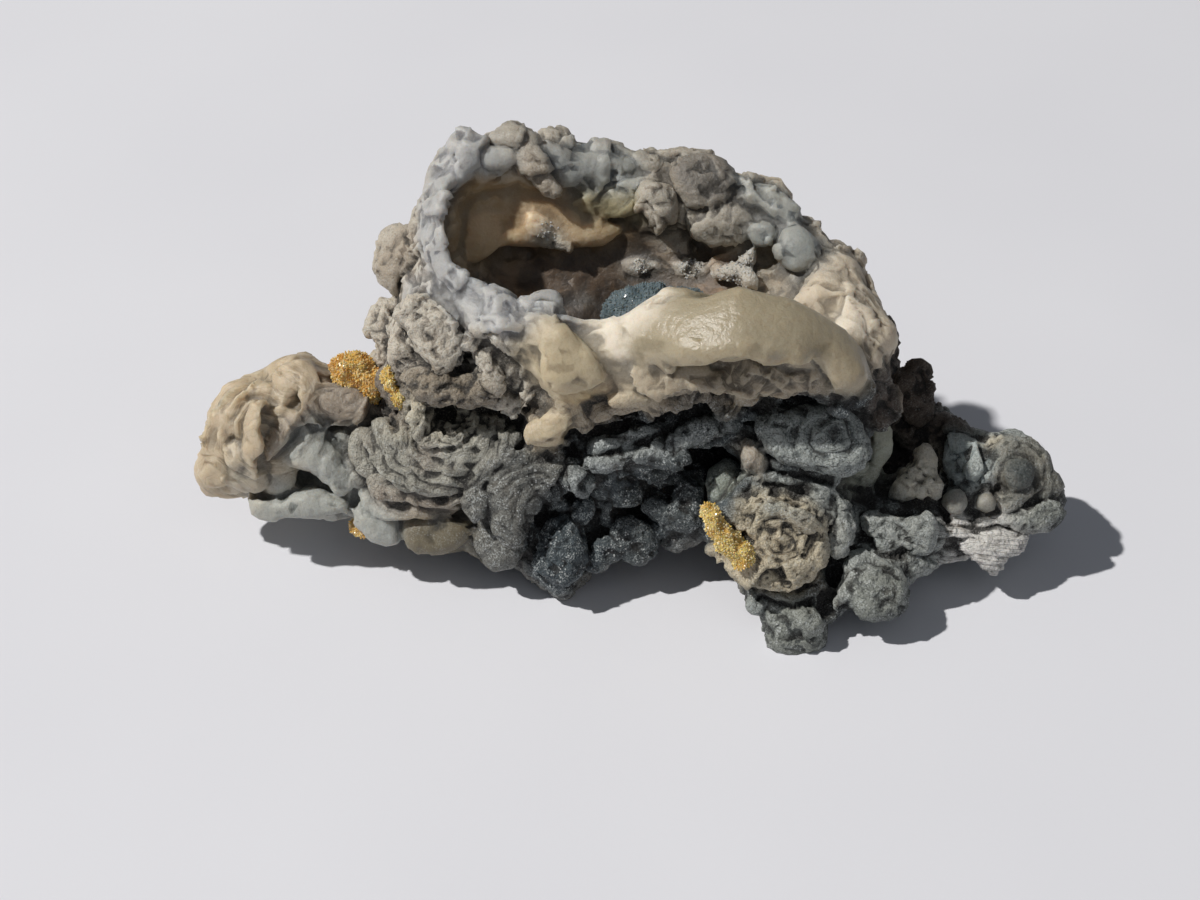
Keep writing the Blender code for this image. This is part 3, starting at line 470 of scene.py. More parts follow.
# Rings of thin shells: pixel, reach, step between rings and height of a step, in mm.
PHOTO_RINGS = (
    ((548, 428), 3.4, 0.8, 0.16), ((329, 403), 2.6, 0.75, 0.28), ((349, 399), 2.6, 0.75, 0.28),
    ((451, 431), 11.0, 1.35, 0.42),
    ((528, 505), 8.0, 1.5, 0.40), ((826, 435), 7.0, 1.3, 0.5), ((852, 449), 4.6, 0.9, 0.4),
    ((786, 540), 6.5, 1.3, 0.34), ((500, 547), 3.0, 0.9, 0.26), ((430, 330), 4.6, 1.2, 0.24),
    ((266, 440), 9.0, 1.7, 0.34), ((1018, 474), 6.0, 1.2, 0.30), ((956, 503), 2.2, 0.7, 0.2),
    ((985, 502), 2.2, 0.7, 0.2), ((872, 590), 4.5, 1.2, 0.26), ((795, 628), 4.5, 1.3, 0.2),
    ((930, 420), 5.0, 1.2, 0.24), ((700, 392), 7.0, 1.2, 0.26),
)

# Rings on the sides that the photo doesn't show: a place in mm, reach, step and height.
HIDDEN_RINGS = (
    ((-24, 21, 16), 10.0, 1.6, 0.42), ((18, 21, 15), 10.0, 1.5, 0.42), ((-2, 21, 14), 7.0, 1.3, 0.36),
    ((-44, 8, 14), 7.0, 1.5, 0.36), ((40, 10, 14), 7.0, 1.3, 0.36), ((-12, 18, 36), 8.0, 1.6, 0.30),
    ((10, 18, 34), 7.0, 1.5, 0.30), ((26, 12, 32), 6.0, 1.4, 0.30), ((50, -4, 6), 6.0, 1.2, 0.34),
)

# Kinds of chalcedony: two colours, then the shares of white specks, wax, knobs, layers, roughness and gloss.
KINDS = {
    "slate": ("#23292B", "#4C5456", 0.75, 0.02, 0.8, 0.3, 0.7, 0.35),
    "slate_dark": ("#171A1B", "#3A4042", 0.60, 0.02, 0.9, 0.3, 0.8, 0.35),
    "slate_blue": ("#1C2529", "#424E54", 0.80, 0.05, 0.8, 0.2, 0.7, 0.35),
    "shell": ("#75736A", "#ADAB9F", 0.45, 0.10, 0.00, 0.5, 0.15, 0.35),
    "shell_dark": ("#404342", "#777771", 0.65, 0.05, 0.00, 0.5, 0.2, 0.35),
    "shell_tan": ("#857C70", "#AFA495", 0.20, 0.25, 0.00, 0.5, 0.15, 0.4),
    "tan": ("#97876D", "#C0B198", 0.04, 0.65, 0.00, 0.7, 0.35, 0.5),
    "rosette": ("#685E52", "#938879", 0.12, 0.50, 0.00, 0.5, 0.25, 0.45),
    "pale_blue": ("#787C77", "#A9ABA5", 0.15, 0.50, 0.05, 0.3, 0.4, 0.5),
    "clear_tan": ("#42403A", "#736B57", 0.15, 0.60, 0.10, 0.3, 0.35, 0.55),
    "lilac": ("#7E7F82", "#B0B1B0", 0.05, 0.70, 0.00, 0.1, 0.85, 0.5),
    "blue_milk": ("#6A6F6F", "#989C99", 0.05, 0.60, 0.05, 0.0, 0.45, 0.5),
    "yellow_milk": ("#7F785C", "#A39A7A", 0.05, 0.60, 0.05, 0.0, 0.6, 0.5),
    # Painted light: glow is lightened to stand in for light that shines through the bowl's thin wall into its
    # shaded inside.
    "glow": ("#CFAE82", "#DEC49E", 0.02, 0.95, 0.00, 0.0, 0.2, 0.5),
    # Painted light and shade: the next two kinds are one brown of the hollow, the first darkened as painted
    # shade on its floor, the second lightened as painted light bounced into it.
    "shaded_deep_floor": ("#33261B", "#54422F", 0.02, 0.60, 0.05, 0.0, 0.3, 0.5),
    "deep": ("#6A543F", "#957859", 0.02, 0.60, 0.05, 0.0, 0.3, 0.5),
    "rim_grey": ("#706B61", "#ABA599", 0.20, 0.45, 0.05, 0.1, 0.9, 0.45),
    "dark_clear": ("#43403B", "#7A756D", 0.10, 0.45, 0.05, 0.1, 0.8, 0.5),
    "white_milk": ("#9DA09F", "#BEBFBB", 0.02, 0.7, 0.0, 0.0, 0.1, 0.7),
    "rim_cloud": ("#6A7072", "#A3A5A0", 0.10, 0.6, 0.0, 0.0, 0.85, 0.55),
    "quartz_grey": ("#8F8B82", "#C2BEB4", 0.60, 0.3, 0.1, 0.0, 0.9, 0.5),
    "knob_tan": ("#766C5D", "#A69B8B", 0.20, 0.4, 0.1, 0.2, 0.7, 0.45),
    "cream_clear": ("#988A6F", "#BBAE92", 0.02, 0.7, 0.0, 0.1, 0.45, 0.55),
    "ledge_clear": ("#665C4B", "#AEA28D", 0.12, 0.6, 0.1, 0.4, 0.75, 0.5),
    "cluster_ledge": ("#4B463E", "#968B79", 0.20, 0.2, 0.2, 0.2, 0.8, 0.4),
    "tan_grey": ("#8F887A", "#B9B09E", 0.05, 0.6, 0.0, 0.5, 0.25, 0.5),
    "frost": ("#3C4445", "#A4AAA8", 0.95, 0.0, 0.5, 0.0, 0.8, 0.4),
    "green_grey": ("#565E57", "#868D83", 0.40, 0.3, 0.4, 0.0, 0.6, 0.45),
    "plate_grey": ("#5F6461", "#A6AAA5", 0.50, 0.1, 0.1, 0.2, 0.7, 0.3),
    "foot_grey": ("#434846", "#93978F", 0.70, 0.0, 0.2, 0.0, 0.6, 0.35),
    # Partly their own pale colour, partly painted light: these two are lightened to stand in for sun that the
    # bowl's shadow keeps from them.
    "spike_tan": ("#B5B1A2", "#E8E3D2", 0.30, 0.2, 0.2, 0.0, 1.0, 0.35),
    "panel_blue": ("#798688", "#B7C1BF", 0.60, 0.2, 0.1, 0.1, 0.6, 0.4),
    "knob_clear": ("#45453D", "#7E7D73", 0.10, 0.5, 0.0, 0.0, 0.2, 0.6),
    "disc_grey": ("#3D3F38", "#84837A", 0.30, 0.3, 0.1, 0.2, 0.5, 0.45),
    "dome_blue": ("#191E1F", "#363E3E", 0.05, 0.3, 0.0, 0.0, 0.2, 0.6),
    "sand": ("#CEC4B0", "#E5DDCE", 0.02, 0.60, 0.00, 0.0, 0.45, 0.1),
    "cream_sand": ("#A89B86", "#CFC3AF", 0.05, 0.55, 0.00, 0.1, 0.6, 0.15),
    "wax": ("#8D836B", "#A89E87", 0.00, 0.80, 0.00, 0.0, 0.06, 0.8),
    "wax_rose": ("#8B8068", "#AEA28A", 0.00, 0.80, 0.00, 0.0, 0.08, 0.8),
    "cream": ("#9C8F76", "#C2B69D", 0.03, 0.50, 0.00, 0.1, 0.6, 0.35),
    "drip_shell": ("#7F705A", "#C0B296", 0.15, 0.60, 0.00, 0.5, 0.5, 0.5),
    "orange_tan": ("#8E7044", "#B49C6E", 0.03, 0.60, 0.00, 0.4, 0.4, 0.5),
    "ledge": ("#7A6F60", "#A99D8A", 0.20, 0.25, 0.10, 0.7, 0.5, 0.4),
    "crust": ("#8C887B", "#CDC7B4", 0.35, 0.10, 0.90, 0.1, 1.0, 0.25),
    "cluster": ("#857D71", "#C8C1B3", 0.25, 0.30, 0.00, 0.3, 1.0, 0.35),
    "cluster_dark": ("#4E4B47", "#84796C", 0.30, 0.15, 0.10, 0.3, 0.8, 0.4),
    "coil_grey": ("#525A5A", "#A4AAA6", 0.80, 0.10, 0.10, 0.7, 0.35, 0.3),
    "coil_tan": ("#958B76", "#CFC4AA", 0.40, 0.10, 0.20, 0.3, 0.9, 0.25),
    "green_clear": ("#7F8578", "#A9AC9C", 0.25, 0.45, 0.05, 0.2, 0.3, 0.5),
    "dark_rock": ("#352D28", "#5D5146", 0.15, 0.05, 0.70, 0.2, 1.0, 0.3),
    "white_layers": ("#A3A39F", "#E6E4DF", 0.20, 0.10, 0.00, 1.0, 0.15, 0.25),
    "vein": ("#B9AE94", "#DAD2BC", 0.10, 0.20, 0.20, 0.2, 0.6, 0.25),
    # Painted shade: near-black colour laid into the pits, where there is only shade.
    "cave_shade": ("#15171A", "#2A2D30", 0.10, 0.00, 0.40, 0.0, 0.6, 0.3),
    "back_bowl": ("#8A8274", "#B2A898", 0.15, 0.35, 0.25, 0.3, 0.7, 0.35),
    "underside": ("#54565A", "#85837C", 0.35, 0.05, 0.70, 0.2, 0.8, 0.3),
}

# Where each kind shows in the photo: a pixel and how far the patch reaches in mm.
PATCHES = {
    "tan": ((215, 465, 6), (238, 425, 6), (272, 385, 6), (262, 446, 6), (300, 385, 4), (290, 415, 4),
            (250, 485, 4)),
    "rosette": ((335, 400, 4), (355, 408, 3), (320, 380, 3.5), (345, 372, 3)),
    "pale_blue": ((322, 440, 4), (330, 462, 4), (270, 500, 4), (300, 500, 4), (340, 492, 4), (372, 500, 4),
                  (384, 522, 3)),
    "clear_tan": ((420, 540, 4), (455, 535, 4), (440, 520, 3), (350, 455, 2.5)),
    "shell": ((395, 440, 4), (410, 470, 5), (440, 490, 5), (470, 450, 5), (500, 430, 4), (372, 470, 4)),
    "shell_tan": ((365, 450, 3), (420, 505, 4), (460, 495, 4), (385, 485, 3), (430, 455, 3)),
    "crust": ((451, 428, 3.2), (430, 412, 3), (475, 412, 3), (402, 416, 2.5), (750, 455, 2)),
    "shell_dark": ((510, 470, 5), (495, 500, 5), (530, 455, 4), (505, 540, 4), (545, 455, 3)),
    "slate_blue": ((500, 547, 2.2), (555, 545, 5), (650, 540, 4), (600, 540, 3), (760, 420, 4), (800, 420, 5),
                   (620, 470, 3), (840, 410, 4), (720, 480, 3), (740, 500, 3), (905, 525, 4)),
    "slate": ((575, 500, 5), (610, 450, 5), (640, 460, 5), (680, 430, 5), (730, 405, 5), (790, 400, 5),
              (590, 520, 4), (780, 450, 4), (700, 520, 3), (655, 500, 4), (800, 470, 4), (860, 425, 4),
              (865, 590, 5), (890, 570, 4)),
    "slate_dark": ((570, 470, 4), (640, 415, 5), (700, 400, 5), (760, 395, 4), (550, 500, 3), (690, 450, 4),
                   (795, 625, 5), (640, 495, 3), (840, 395, 5), (870, 400, 4), (890, 500, 4), (870, 495, 4),
                   (768, 590, 3)),
    # Painted shade in the pits and caves.
    "cave_shade": ((722, 457, 2.6), (640, 518, 2.4), (545, 522, 2.0), (306, 477, 1.2), (376, 414, 2.4),
             (842, 580, 2.0), (832, 606, 2.4), (458, 352, 1.6), (902, 450, 3), (765, 257, 1.2)),
    "coil_grey": ((760, 495, 4), (800, 500, 5), (830, 500, 4), (840, 530, 4), (850, 560, 4), (920, 530, 4),
                  (820, 455, 3), (870, 560, 4), (900, 515, 3), (845, 545, 3)),
    "coil_tan": ((790, 530, 5), (800, 560, 4), (770, 560, 4), (750, 540, 3), (815, 540, 3)),
    "green_clear": ((880, 440, 3.4), (872, 465, 3.2), (850, 476, 2.4), (770, 508, 2.4)),
    "white_layers": ((1000, 552, 4), (1020, 535, 4), (975, 550, 4), (960, 530, 3), (1040, 525, 3)),
    "vein": ((1010, 492, 2), (1030, 482, 2), (1050, 472, 2), (992, 440, 2), (926, 462, 2.4), (910, 480, 2),
             (848, 436, 1.6), (832, 430, 1.2), (885, 405, 1.6)),
    "dark_rock": ((905, 385, 6), (915, 410, 6), (880, 390, 4), (900, 430, 5), (885, 455, 3), (955, 430, 2.6)),
    "cluster": ((920, 475, 2.6), (385, 340, 5), (400, 315, 4), (430, 330, 4), (420, 375, 4), (510, 380, 4),
                (480, 350, 3), (400, 255, 5), (390, 275, 4), (520, 400, 3), (500, 400, 3), (376, 360, 4)),
    "cluster_dark": ((470, 384, 3), (400, 382, 3), (440, 395, 4), (440, 340, 2), (380, 400, 3),
                     (395, 405, 3)),
    "lilac": ((445, 180, 4), (435, 210, 4), (440, 262, 4), (460, 290, 4), (430, 240, 3), (480, 310, 3.6),
              (520, 315, 3.5), (470, 150, 4), (555, 312, 3), (500, 300, 3), (410, 285, 3), (500, 155, 3)),
    "rim_grey": ((520, 135, 4), (560, 140, 4), (495, 140, 3), (640, 160, 4), (690, 165, 4), (750, 190, 4),
                 (830, 235, 4), (600, 155, 3), (810, 270, 4), (700, 225, 4), (680, 250, 4), (850, 250, 4)),
    "blue_milk": ((575, 165, 3.4), (590, 180, 3.4), (610, 175, 2.6), (800, 250, 3.2), (760, 222, 3),
                  (572, 298, 2.6), (545, 160, 2.4), (440, 195, 2)),
    "yellow_milk": ((605, 205, 3), (625, 210, 3), (590, 200, 2.4)),
    "glow": ((470, 200, 4), (490, 215, 5), (520, 205, 4), (465, 235, 4), (500, 240, 4), (470, 260, 3),
             (540, 200, 3), (560, 220, 4), (590, 225, 3)),
    "deep": ((520, 270, 6), (680, 265, 4), (540, 300, 5), (720, 262, 3), (500, 272, 4), (530, 255, 4)),
    "shaded_deep_floor": ((565, 278, 6), (600, 270, 7), (640, 255, 5), (590, 305, 6), (600, 250, 4), (560, 256, 4),
                   (650, 290, 5), (665, 280, 4)),
    "dark_clear": ((720, 190, 4), (735, 205, 3), (700, 180, 3), (775, 215, 2.5), (570, 155, 2)),
    "cream_sand": ((870, 285, 5), (880, 320, 5), (885, 345, 5), (850, 275, 4), (770, 195, 3), (790, 205, 3),
                   (870, 360, 3), (820, 290, 3)),
    "sand": ((610, 340, 4), (615, 325, 4), (605, 365, 3.5), (640, 310, 3), (860, 325, 3)),
    "wax": ((650, 330, 5), (690, 315, 6), (730, 315, 6), (770, 315, 6), (805, 330, 5), (660, 350, 4),
            (830, 350, 4), (740, 340, 4)),
    "wax_rose": ((848, 368, 4.4), (860, 350, 3), (800, 368, 3), (835, 385, 3)),
    "cream": ((560, 345, 4), (545, 330, 3), (580, 360, 4), (530, 345, 4), (545, 370, 4), (660, 382, 2.4),
              (556, 410, 2.6), (640, 396, 2), (420, 405, 1.6)),
    "orange_tan": ((590, 385, 3.4), (570, 390, 3.2), (550, 436, 3), (540, 444, 2.6), (730, 398, 2.2)),
    "ledge": ((640, 400, 4), (680, 390, 4), (720, 375, 4), (760, 382, 4), (720, 395, 4), (790, 392, 3),
              (540, 420, 3), (580, 410, 4), (610, 408, 4), (820, 385, 3)),
}

# Kinds on the hidden sides: a place in mm, how far the patch reaches and its kind.
HIDDEN_PATCHES = (
    ((-42, 6, 17), 10.0, "tan"), ((-50, 0, 12), 8.0, "tan"), ((-38, -2, 8), 7.0, "pale_blue"),
    ((-24, 20, 16), 11.0, "shell"), ((-6, 22, 10), 10.0, "shell_dark"), ((16, 21, 14), 11.0, "slate"),
    ((34, 12, 12), 8.0, "dark_rock"), ((48, 2, 9), 8.0, "coil_grey"), ((56, -8, 8), 6.0, "slate"),
    ((-18, 12, 40), 10.0, "rim_grey"), ((-8, 17, 46), 8.0, "lilac"), ((6, 18, 42), 9.0, "back_bowl"),
    ((18, 16, 38), 8.0, "cream_sand"), ((28, 8, 32), 8.0, "cream_sand"), ((-26, 6, 30), 8.0, "cluster"),
    ((0, 18, 28), 9.0, "back_bowl"), ((-14, 18, 28), 7.0, "shell_tan"), ((30, 0, 26), 6.0, "cream_sand"),
    ((0, 0, 2), 12.0, "underside"), ((24, 0, 3), 12.0, "underside"), ((-24, 4, 3), 12.0, "underside"),
    ((-44, -2, 6), 7.0, "pale_blue"), ((44, -6, 3), 8.0, "coil_grey"),
)

# What a mix of kinds holds after its two colours.
SPECKLED, WAXY, KNOBBY, LAYERED, ROUGH, GLOSSY = range(6, 12)

SAVED_SEED = 7
DICE = np.random.default_rng(SAVED_SEED)
ORDER = DICE.permutation(256)
GRADIENTS = DICE.normal(size=(256, 3))
GRADIENTS /= np.linalg.norm(GRADIENTS, axis=1)[:, None]
JITTER = DICE.random((256, 3))
CORNERS = np.array([(x, y, z) for x in (0, 1) for y in (0, 1) for z in (0, 1)])
AROUND = np.array([(x, y, z) for x in (-1, 0, 1) for y in (-1, 0, 1) for z in (-1, 0, 1)])
WARP_SIZE, WARP_SHIFT = 4.5, 2.2  # how the edges of patches wander
FINE_WARP_SIZE, FINE_WARP_SHIFT = 1.3, 0.7


def linear(code):
    """An sRGB hex colour as linear red, green and blue."""
    parts = [int(code[start:start + 2], 16) / 255 for start in (1, 3, 5)]
    return [part / 12.92 if part <= 0.04045 else ((part + 0.055) / 1.055) ** 2.4 for part in parts]


def deselect_all():
    bpy.ops.object.select_all(action="DESELECT")


def make_active(obj):
    deselect_all()
    obj.select_set(True)
    bpy.context.view_layer.objects.active = obj


def apply_modifier(obj, kind, **settings):
    make_active(obj)
    modifier = obj.modifiers.new(kind.lower(), kind)
    for name, value in settings.items():
        setattr(modifier, name, value)
    bpy.ops.object.modifier_apply(modifier=modifier.name)


def places_of(obj):
    """The points of a piece in mm."""
    places = np.empty(len(obj.data.vertices) * 3)
    obj.data.vertices.foreach_get("co", places)
    return places.reshape(-1, 3) / MM


def normals_of(obj):
    normals = np.empty(len(obj.data.vertices) * 3)
    obj.data.vertex_normals.foreach_get("vector", normals)
    return normals.reshape(-1, 3)


def set_places(obj, places):
    obj.data.vertices.foreach_set("co", (places * MM).ravel())
    obj.data.update()


def tree_of(obj):
    faces = [tuple(face.vertices) for face in obj.data.polygons]
    return BVHTree.FromPolygons([tuple(place) for place in places_of(obj)], faces)


def line_of_sight(u, v):
    """The direction in which a pixel of the photo looks."""
    aside = (u - PHOTO_MIDDLE[0]) / FOCAL_PIXELS
    above = (PHOTO_MIDDLE[1] - v) / FOCAL_PIXELS
    return (Vector((aside, 0, 0)) + UPWARDS * above - BACKWARDS).normalized()


def seen_at(tree, u, v, with_normal=False):
    """The point of the stone that shows at a pixel of the photo, or the nearest one beside it."""
    ray = line_of_sight(u, v)
    hit, normal = tree.ray_cast(EYE, ray)[:2]
    if hit is None:
        hit, normal = tree.find_nearest(EYE + ray * EYE_DISTANCE)[:2]
    return (hit, normal) if with_normal else hit


def smooth_line(points, spacing):
    """A Catmull-Rom curve through pixels, with a point about every so many pixels."""
    points = [Vector(point) for point in points]
    ends = [points[0] * 2 - points[1]] + points + [points[-1] * 2 - points[-2]]
    line = []
    for before, start, end, after in zip(ends, ends[1:], ends[2:], ends[3:]):
        steps = max(1, round((end - start).length / spacing))
        for step in range(steps):
            t = step / steps
            slope, bend = end - before, 2 * before - 5 * start + 4 * end - after
            twist = 3 * start - before - 3 * end + after
            line.append(0.5 * (2 * start + slope * t + bend * t * t + twist * t * t * t))
    return line + [points[-1]]


def across_line(line, number):
    """The direction across a line of pixels at one of its points."""
    ahead = line[min(number + 1, len(line) - 1)] - line[max(number - 1, 0)]
    return Vector((ahead.y, -ahead.x)).normalized()


def line_on(tree, pixels, spacing=5.0):
    """A smooth line of pixels laid on the stone, as points in mm."""
    return np.array([seen_at(tree, point.x, point.y) for point in smooth_line(pixels, spacing)])


def nearest_on(places, line):
    """Each place's nearest point of a line: its number and how far it is."""
    gaps = np.linalg.norm(places[:, None, :] - line[None, :, :], axis=2)
    nearest = gaps.argmin(axis=1)
    return nearest, gaps[np.arange(len(places)), nearest]


def close_to(places, line, reach):
    """The numbers of the places inside a line's box with a margin."""
    low, high = line.min(axis=0) - reach, line.max(axis=0) + reach
    return np.flatnonzero(np.all((places > low) & (places < high), axis=1))


def lattice_codes(cells):
    """A number from 0 to 255 for each cell of a grid, the same every time."""
    cells = cells & 255
    return ORDER[(ORDER[(ORDER[cells[:, 0]] + cells[:, 1]) & 255] + cells[:, 2]) & 255]


def smooth_noise(points):
    """Gradient noise about zero, with features one unit wide."""
    base = np.floor(points).astype(np.int64)
    part = points - base
    ease = part ** 3 * (part * (part * 6 - 15) + 10)
    total = np.zeros(len(points))
    for step in CORNERS:
        share = np.prod(np.where(step > 0, ease, 1 - ease), axis=1)
        total += share * np.einsum("ij,ij->i", GRADIENTS[lattice_codes(base + step)], part - step)
    return total * 1.6


def noise_of(places, size, octaves=3, roughness=0.5, shift=0.0, folded=False):
    """Fractal noise with features of a size in mm; folded, it has round tops and sharp creases."""
    total = np.zeros(len(places))
    for octave in range(octaves):
        layer = smooth_noise((places + shift + 17.3 * octave) / size * 2 ** octave)
        total += (np.abs(layer) * 2 - 0.45 if folded else layer) * roughness ** octave
    return total


def cells_about(places, size, shift=0.0):
    """Each place's nearest cell middle: how far it is and where it is, both in cells."""
    scaled = (places + shift) / size
    base = np.floor(scaled).astype(np.int64)
    nearest = np.full(len(scaled), 9.0)
    middle = np.zeros_like(scaled)
    for step in AROUND:
        spot = base + step + JITTER[lattice_codes(base + step)]
        gap = np.linalg.norm(scaled - spot, axis=1)
        closer = gap < nearest
        nearest = np.where(closer, gap, nearest)
        middle[closer] = spot[closer]
    return nearest, middle


def domes(places, size, shift=0.0):
    """Round knobs side by side, about zero."""
    gap, _ = cells_about(places, size, shift)
    return np.sqrt(np.clip(1 - gap ** 2, 0, 1)) - 0.6


def chips_of(places, size, tilt, shift=0.0):
    """Small broken faces, each a plane of its own: about -1 to 1, with steps between them."""
    _, centres = cells_about(places, size, shift)
    turns = np.sin(centres @ np.array(((12.9, 78.2, 37.7), (39.3, 11.1, 83.5), (73.2, 52.2, 9.1))) * 43.7)
    step = np.sin(centres @ np.array((27.1, 61.7, 12.4)) * 31.3)
    return np.einsum("ij,ij->i", (places + shift) / size - centres, turns) * tilt + step * (1 - tilt) * 0.5


def chipped(places, chips, share=1.0):
    """The rise of broken faces in mm, as a share of their full height."""
    height, size, tilt, shift = chips
    return share * height * chips_of(places, size, tilt, shift)


def saw(gap, step):
    """Shells one step apart: each rises to its edge and drops at once to the next, from -0.5 to 0.5."""
    phase = (gap / step) % 1.0
    return np.where(phase < 0.84, phase / 0.84, (1 - phase) / 0.16) - 0.5


def growth_of(places, layers):
    """How far each place is along its shells' growth, in mm: from many middles, or down the thin laminae."""
    growth = cells_about(warped(places, 6.0, 1.6), GROWTH_SPREAD)[0] * GROWTH_SPREAD
    growth += 0.3 * noise_of(places, 2.4, octaves=2)
    down = places @ -np.array(UPWARDS) + 0.6 * noise_of(places, 5.0, octaves=2, shift=5.0)
    return np.where(layers > 0.85, down, growth)


def warped(places, size, shift):
    """Places moved about by noise, up to about the shift in mm."""
    moves = [smooth_noise(places / size + offset) for offset in (3.1, 47.7, 91.3)]
    return places + shift * np.stack(moves, axis=1)


def plate_strip(tree, side, width, lift, overhang, pixels):
    """A shell's rim as a closed wedge along its line: its sharp edge hangs over, its root is in the stone."""
    flat = smooth_line(pixels, 4.0)
    sections = []
    for number, point in enumerate(flat):
        across = across_line(flat, number) * side
        here, normal = seen_at(tree, point.x, point.y, with_normal=True)
        inward = RIGHTWARDS * across.x - UPWARDS * across.y
        inward = (inward - normal * inward.dot(normal)).normalized()
        wave = 1 + 0.5 * noise.noise(here / PLATE_WAVE)
        end = min(1.0, 0.25 + min(number, len(flat) - 1 - number) / 4.0)
        high, out = PLATE_LIFT * lift * wave * end, overhang * (2 - wave) * end
        sections.append((
            here + inward * width - normal * PLATE_ROOT,
            here + inward * width * 0.5 + normal * high * 0.62,
            here - inward * out * 0.6 + normal * high,
            here - inward * out + normal * (high - PLATE_EDGE * 0.5),
            here - inward * out * 0.5 + normal * (high - PLATE_EDGE * 1.6),
            here + inward * 0.5 - normal * PLATE_ROOT))
    return tube_from(sections)


def lump_frame(tree, out, lean, outline):
    """A lump's outline as points of its own plane, and that plane's middle and normal."""
    hits, normals = zip(*[seen_at(tree, u, v, with_normal=True) for u, v in outline])
    middle = [sum(pixel[axis] for pixel in outline) / len(outline) for axis in (0, 1)]
    hits += (seen_at(tree, *middle),)
    depth = float(np.median([(hit - EYE).dot(-BACKWARDS) for hit in hits]))
    mean_normal = sum(normals, Vector((0, 0, 0))).normalized()
    facing = (mean_normal * lean + BACKWARDS * (1 - lean)).normalized()
    ray = line_of_sight(*middle)
    centre = EYE + ray * (depth / ray.dot(-BACKWARDS)) + facing * out
    rim = []
    for u, v in outline:
        ray = line_of_sight(u, v)
        rim.append(EYE + ray * ((centre - EYE).dot(facing) / ray.dot(facing)))
    return rim, centre, facing


# A lump's layers: how far each lies in front of its plane in half thicknesses, and its size. A lump that
# stands out is rooted deep in the stone, and one at the rim is round on both sides.
LUMP_LAYERS = ((0.8, 0.35), (0.72, 0.62), (0.52, 0.84), (0.22, 0.96), (-0.1, 1.0), (-0.6, 0.95), (-1.4, 0.8),
               (-2.3, 0.5))
THIN_LAYERS = ((1.0, 0.35), (0.7, 0.75), (0.3, 0.95), (0.0, 1.0), (-0.3, 0.95), (-0.7, 0.75), (-1.0, 0.35))


def lump(tree, half, out, lean, outline):
    """The points and faces of a lump with the outline that the photo shows."""
    rim, _, facing = lump_frame(tree, out, lean, [tuple(point) for point in smooth_loop(outline)])
    layers = LUMP_LAYERS if out > 0 else THIN_LAYERS
    middle = sum(rim, Vector((0, 0, 0))) / len(rim)
    return tube_from([[middle + (point - middle) * size + facing * half * height for point in rim]
                      for height, size in layers])


def smooth_loop(outline):
    """An outline with a rounded course and twice the points."""
    loop = []
    count = len(outline)
    for number in range(count):
        before, start, end, after = (Vector(outline[(number + shift) % count]) for shift in (-1, 0, 1, 2))
        loop += [start, (start + end) * 0.5625 - (before + after) * 0.0625]
    return loop


def pixels_of(places):
    """Where points show in the photo."""
    away = places - np.array(EYE)
    depth = away @ np.array(-BACKWARDS)
    u = PHOTO_MIDDLE[0] + FOCAL_PIXELS * (away @ np.array(RIGHTWARDS)) / depth
    v = PHOTO_MIDDLE[1] - FOCAL_PIXELS * (away @ np.array(UPWARDS)) / depth
    return u, v


def inside_outline(u, v, outline):
    inside = np.zeros(len(u), dtype=bool)
    for (u1, v1), (u2, v2) in zip(outline, outline[1:] + outline[:1]):
        crosses = (v1 > v) != (v2 > v)
        if v1 != v2:
            inside ^= crosses & (u < (u2 - u1) * (v - v1) / (v2 - v1) + u1)
    return inside


def lump_kinds(obj, tree, mix):
    """Gives each lump its own kind, up to its outline."""
    table = kind_table()
    places = places_of(obj)
    u, v = pixels_of(places)
    share = np.zeros((len(places), 1))
    wanted = mix.copy()
    for kind, half, out, lean, outline in LUMPS.values():
        loop = [tuple(point) for point in smooth_loop(outline)]
        _, centre, facing = lump_frame(tree, out, lean, loop)
        height = (places - np.array(centre)) @ np.array(facing)
        near = np.flatnonzero((height > -1.2 * half) & (height < half + 1.0))
        within = near[inside_outline(u[near], v[near], loop)]
        wanted[within] = table[kind]
        share[within] = 1.0
    both = evened(np.hstack((share, wanted * share)), neighbours_of(obj), 3)
    amount = both[:, :1]
    wanted = np.where(amount > 0.01, both[:, 1:] / np.maximum(amount, 0.01), mix)
    amount = amount * np.clip(0.97 + 0.2 * noise_of(places, 2.0, octaves=2)[:, None], 0.8, 1.0)
    return mix * (1 - amount) + wanted * amount


def press_under_plates(places, tree):
    """A groove just outside each shell's edge, so that the edge stands clear."""
    rise = np.zeros(len(places))
    for side, _, lift, overhang, pixels in PLATES:
        flat = smooth_line(pixels, 6.0)
        line = []
        for number, point in enumerate(flat):
            across = across_line(flat, number) * side
            outside = point - across * (0.5 + 0.5 * overhang) * PIXELS_PER_MM
            line.append(seen_at(tree, outside.x, outside.y))
        line = np.array(line)
        near = close_to(places, line, GROOVE_REACH)
        _, gap = nearest_on(places[near], line)
        depth = GROOVE_DEPTH * lift * np.clip(1 - (gap / GROOVE_REACH) ** 2, 0, 1)
        rise[near] = np.minimum(rise[near], -depth)
    return rise


def as_the_eye_sees(places):
    """Places moved along their lines of sight, until all are as far from the eye."""
    away = places - np.array(EYE)
    return away / np.linalg.norm(away, axis=1)[:, None] * EYE_DISTANCE


def rim_share(places, tree):
    """How near each place is to a shell's edge, from 0 to 1."""
    share = np.zeros(len(places))
    for *_, pixels in PLATES:
        line = line_on(tree, pixels, 4.0)
        near = close_to(places, line, RIM_REACH + RIM_MARGIN)
        _, aside = nearest_on(as_the_eye_sees(places[near]), as_the_eye_sees(line))
        share[near] = np.maximum(share[near], np.clip(1 - aside / RIM_REACH, 0, 1))
    return share


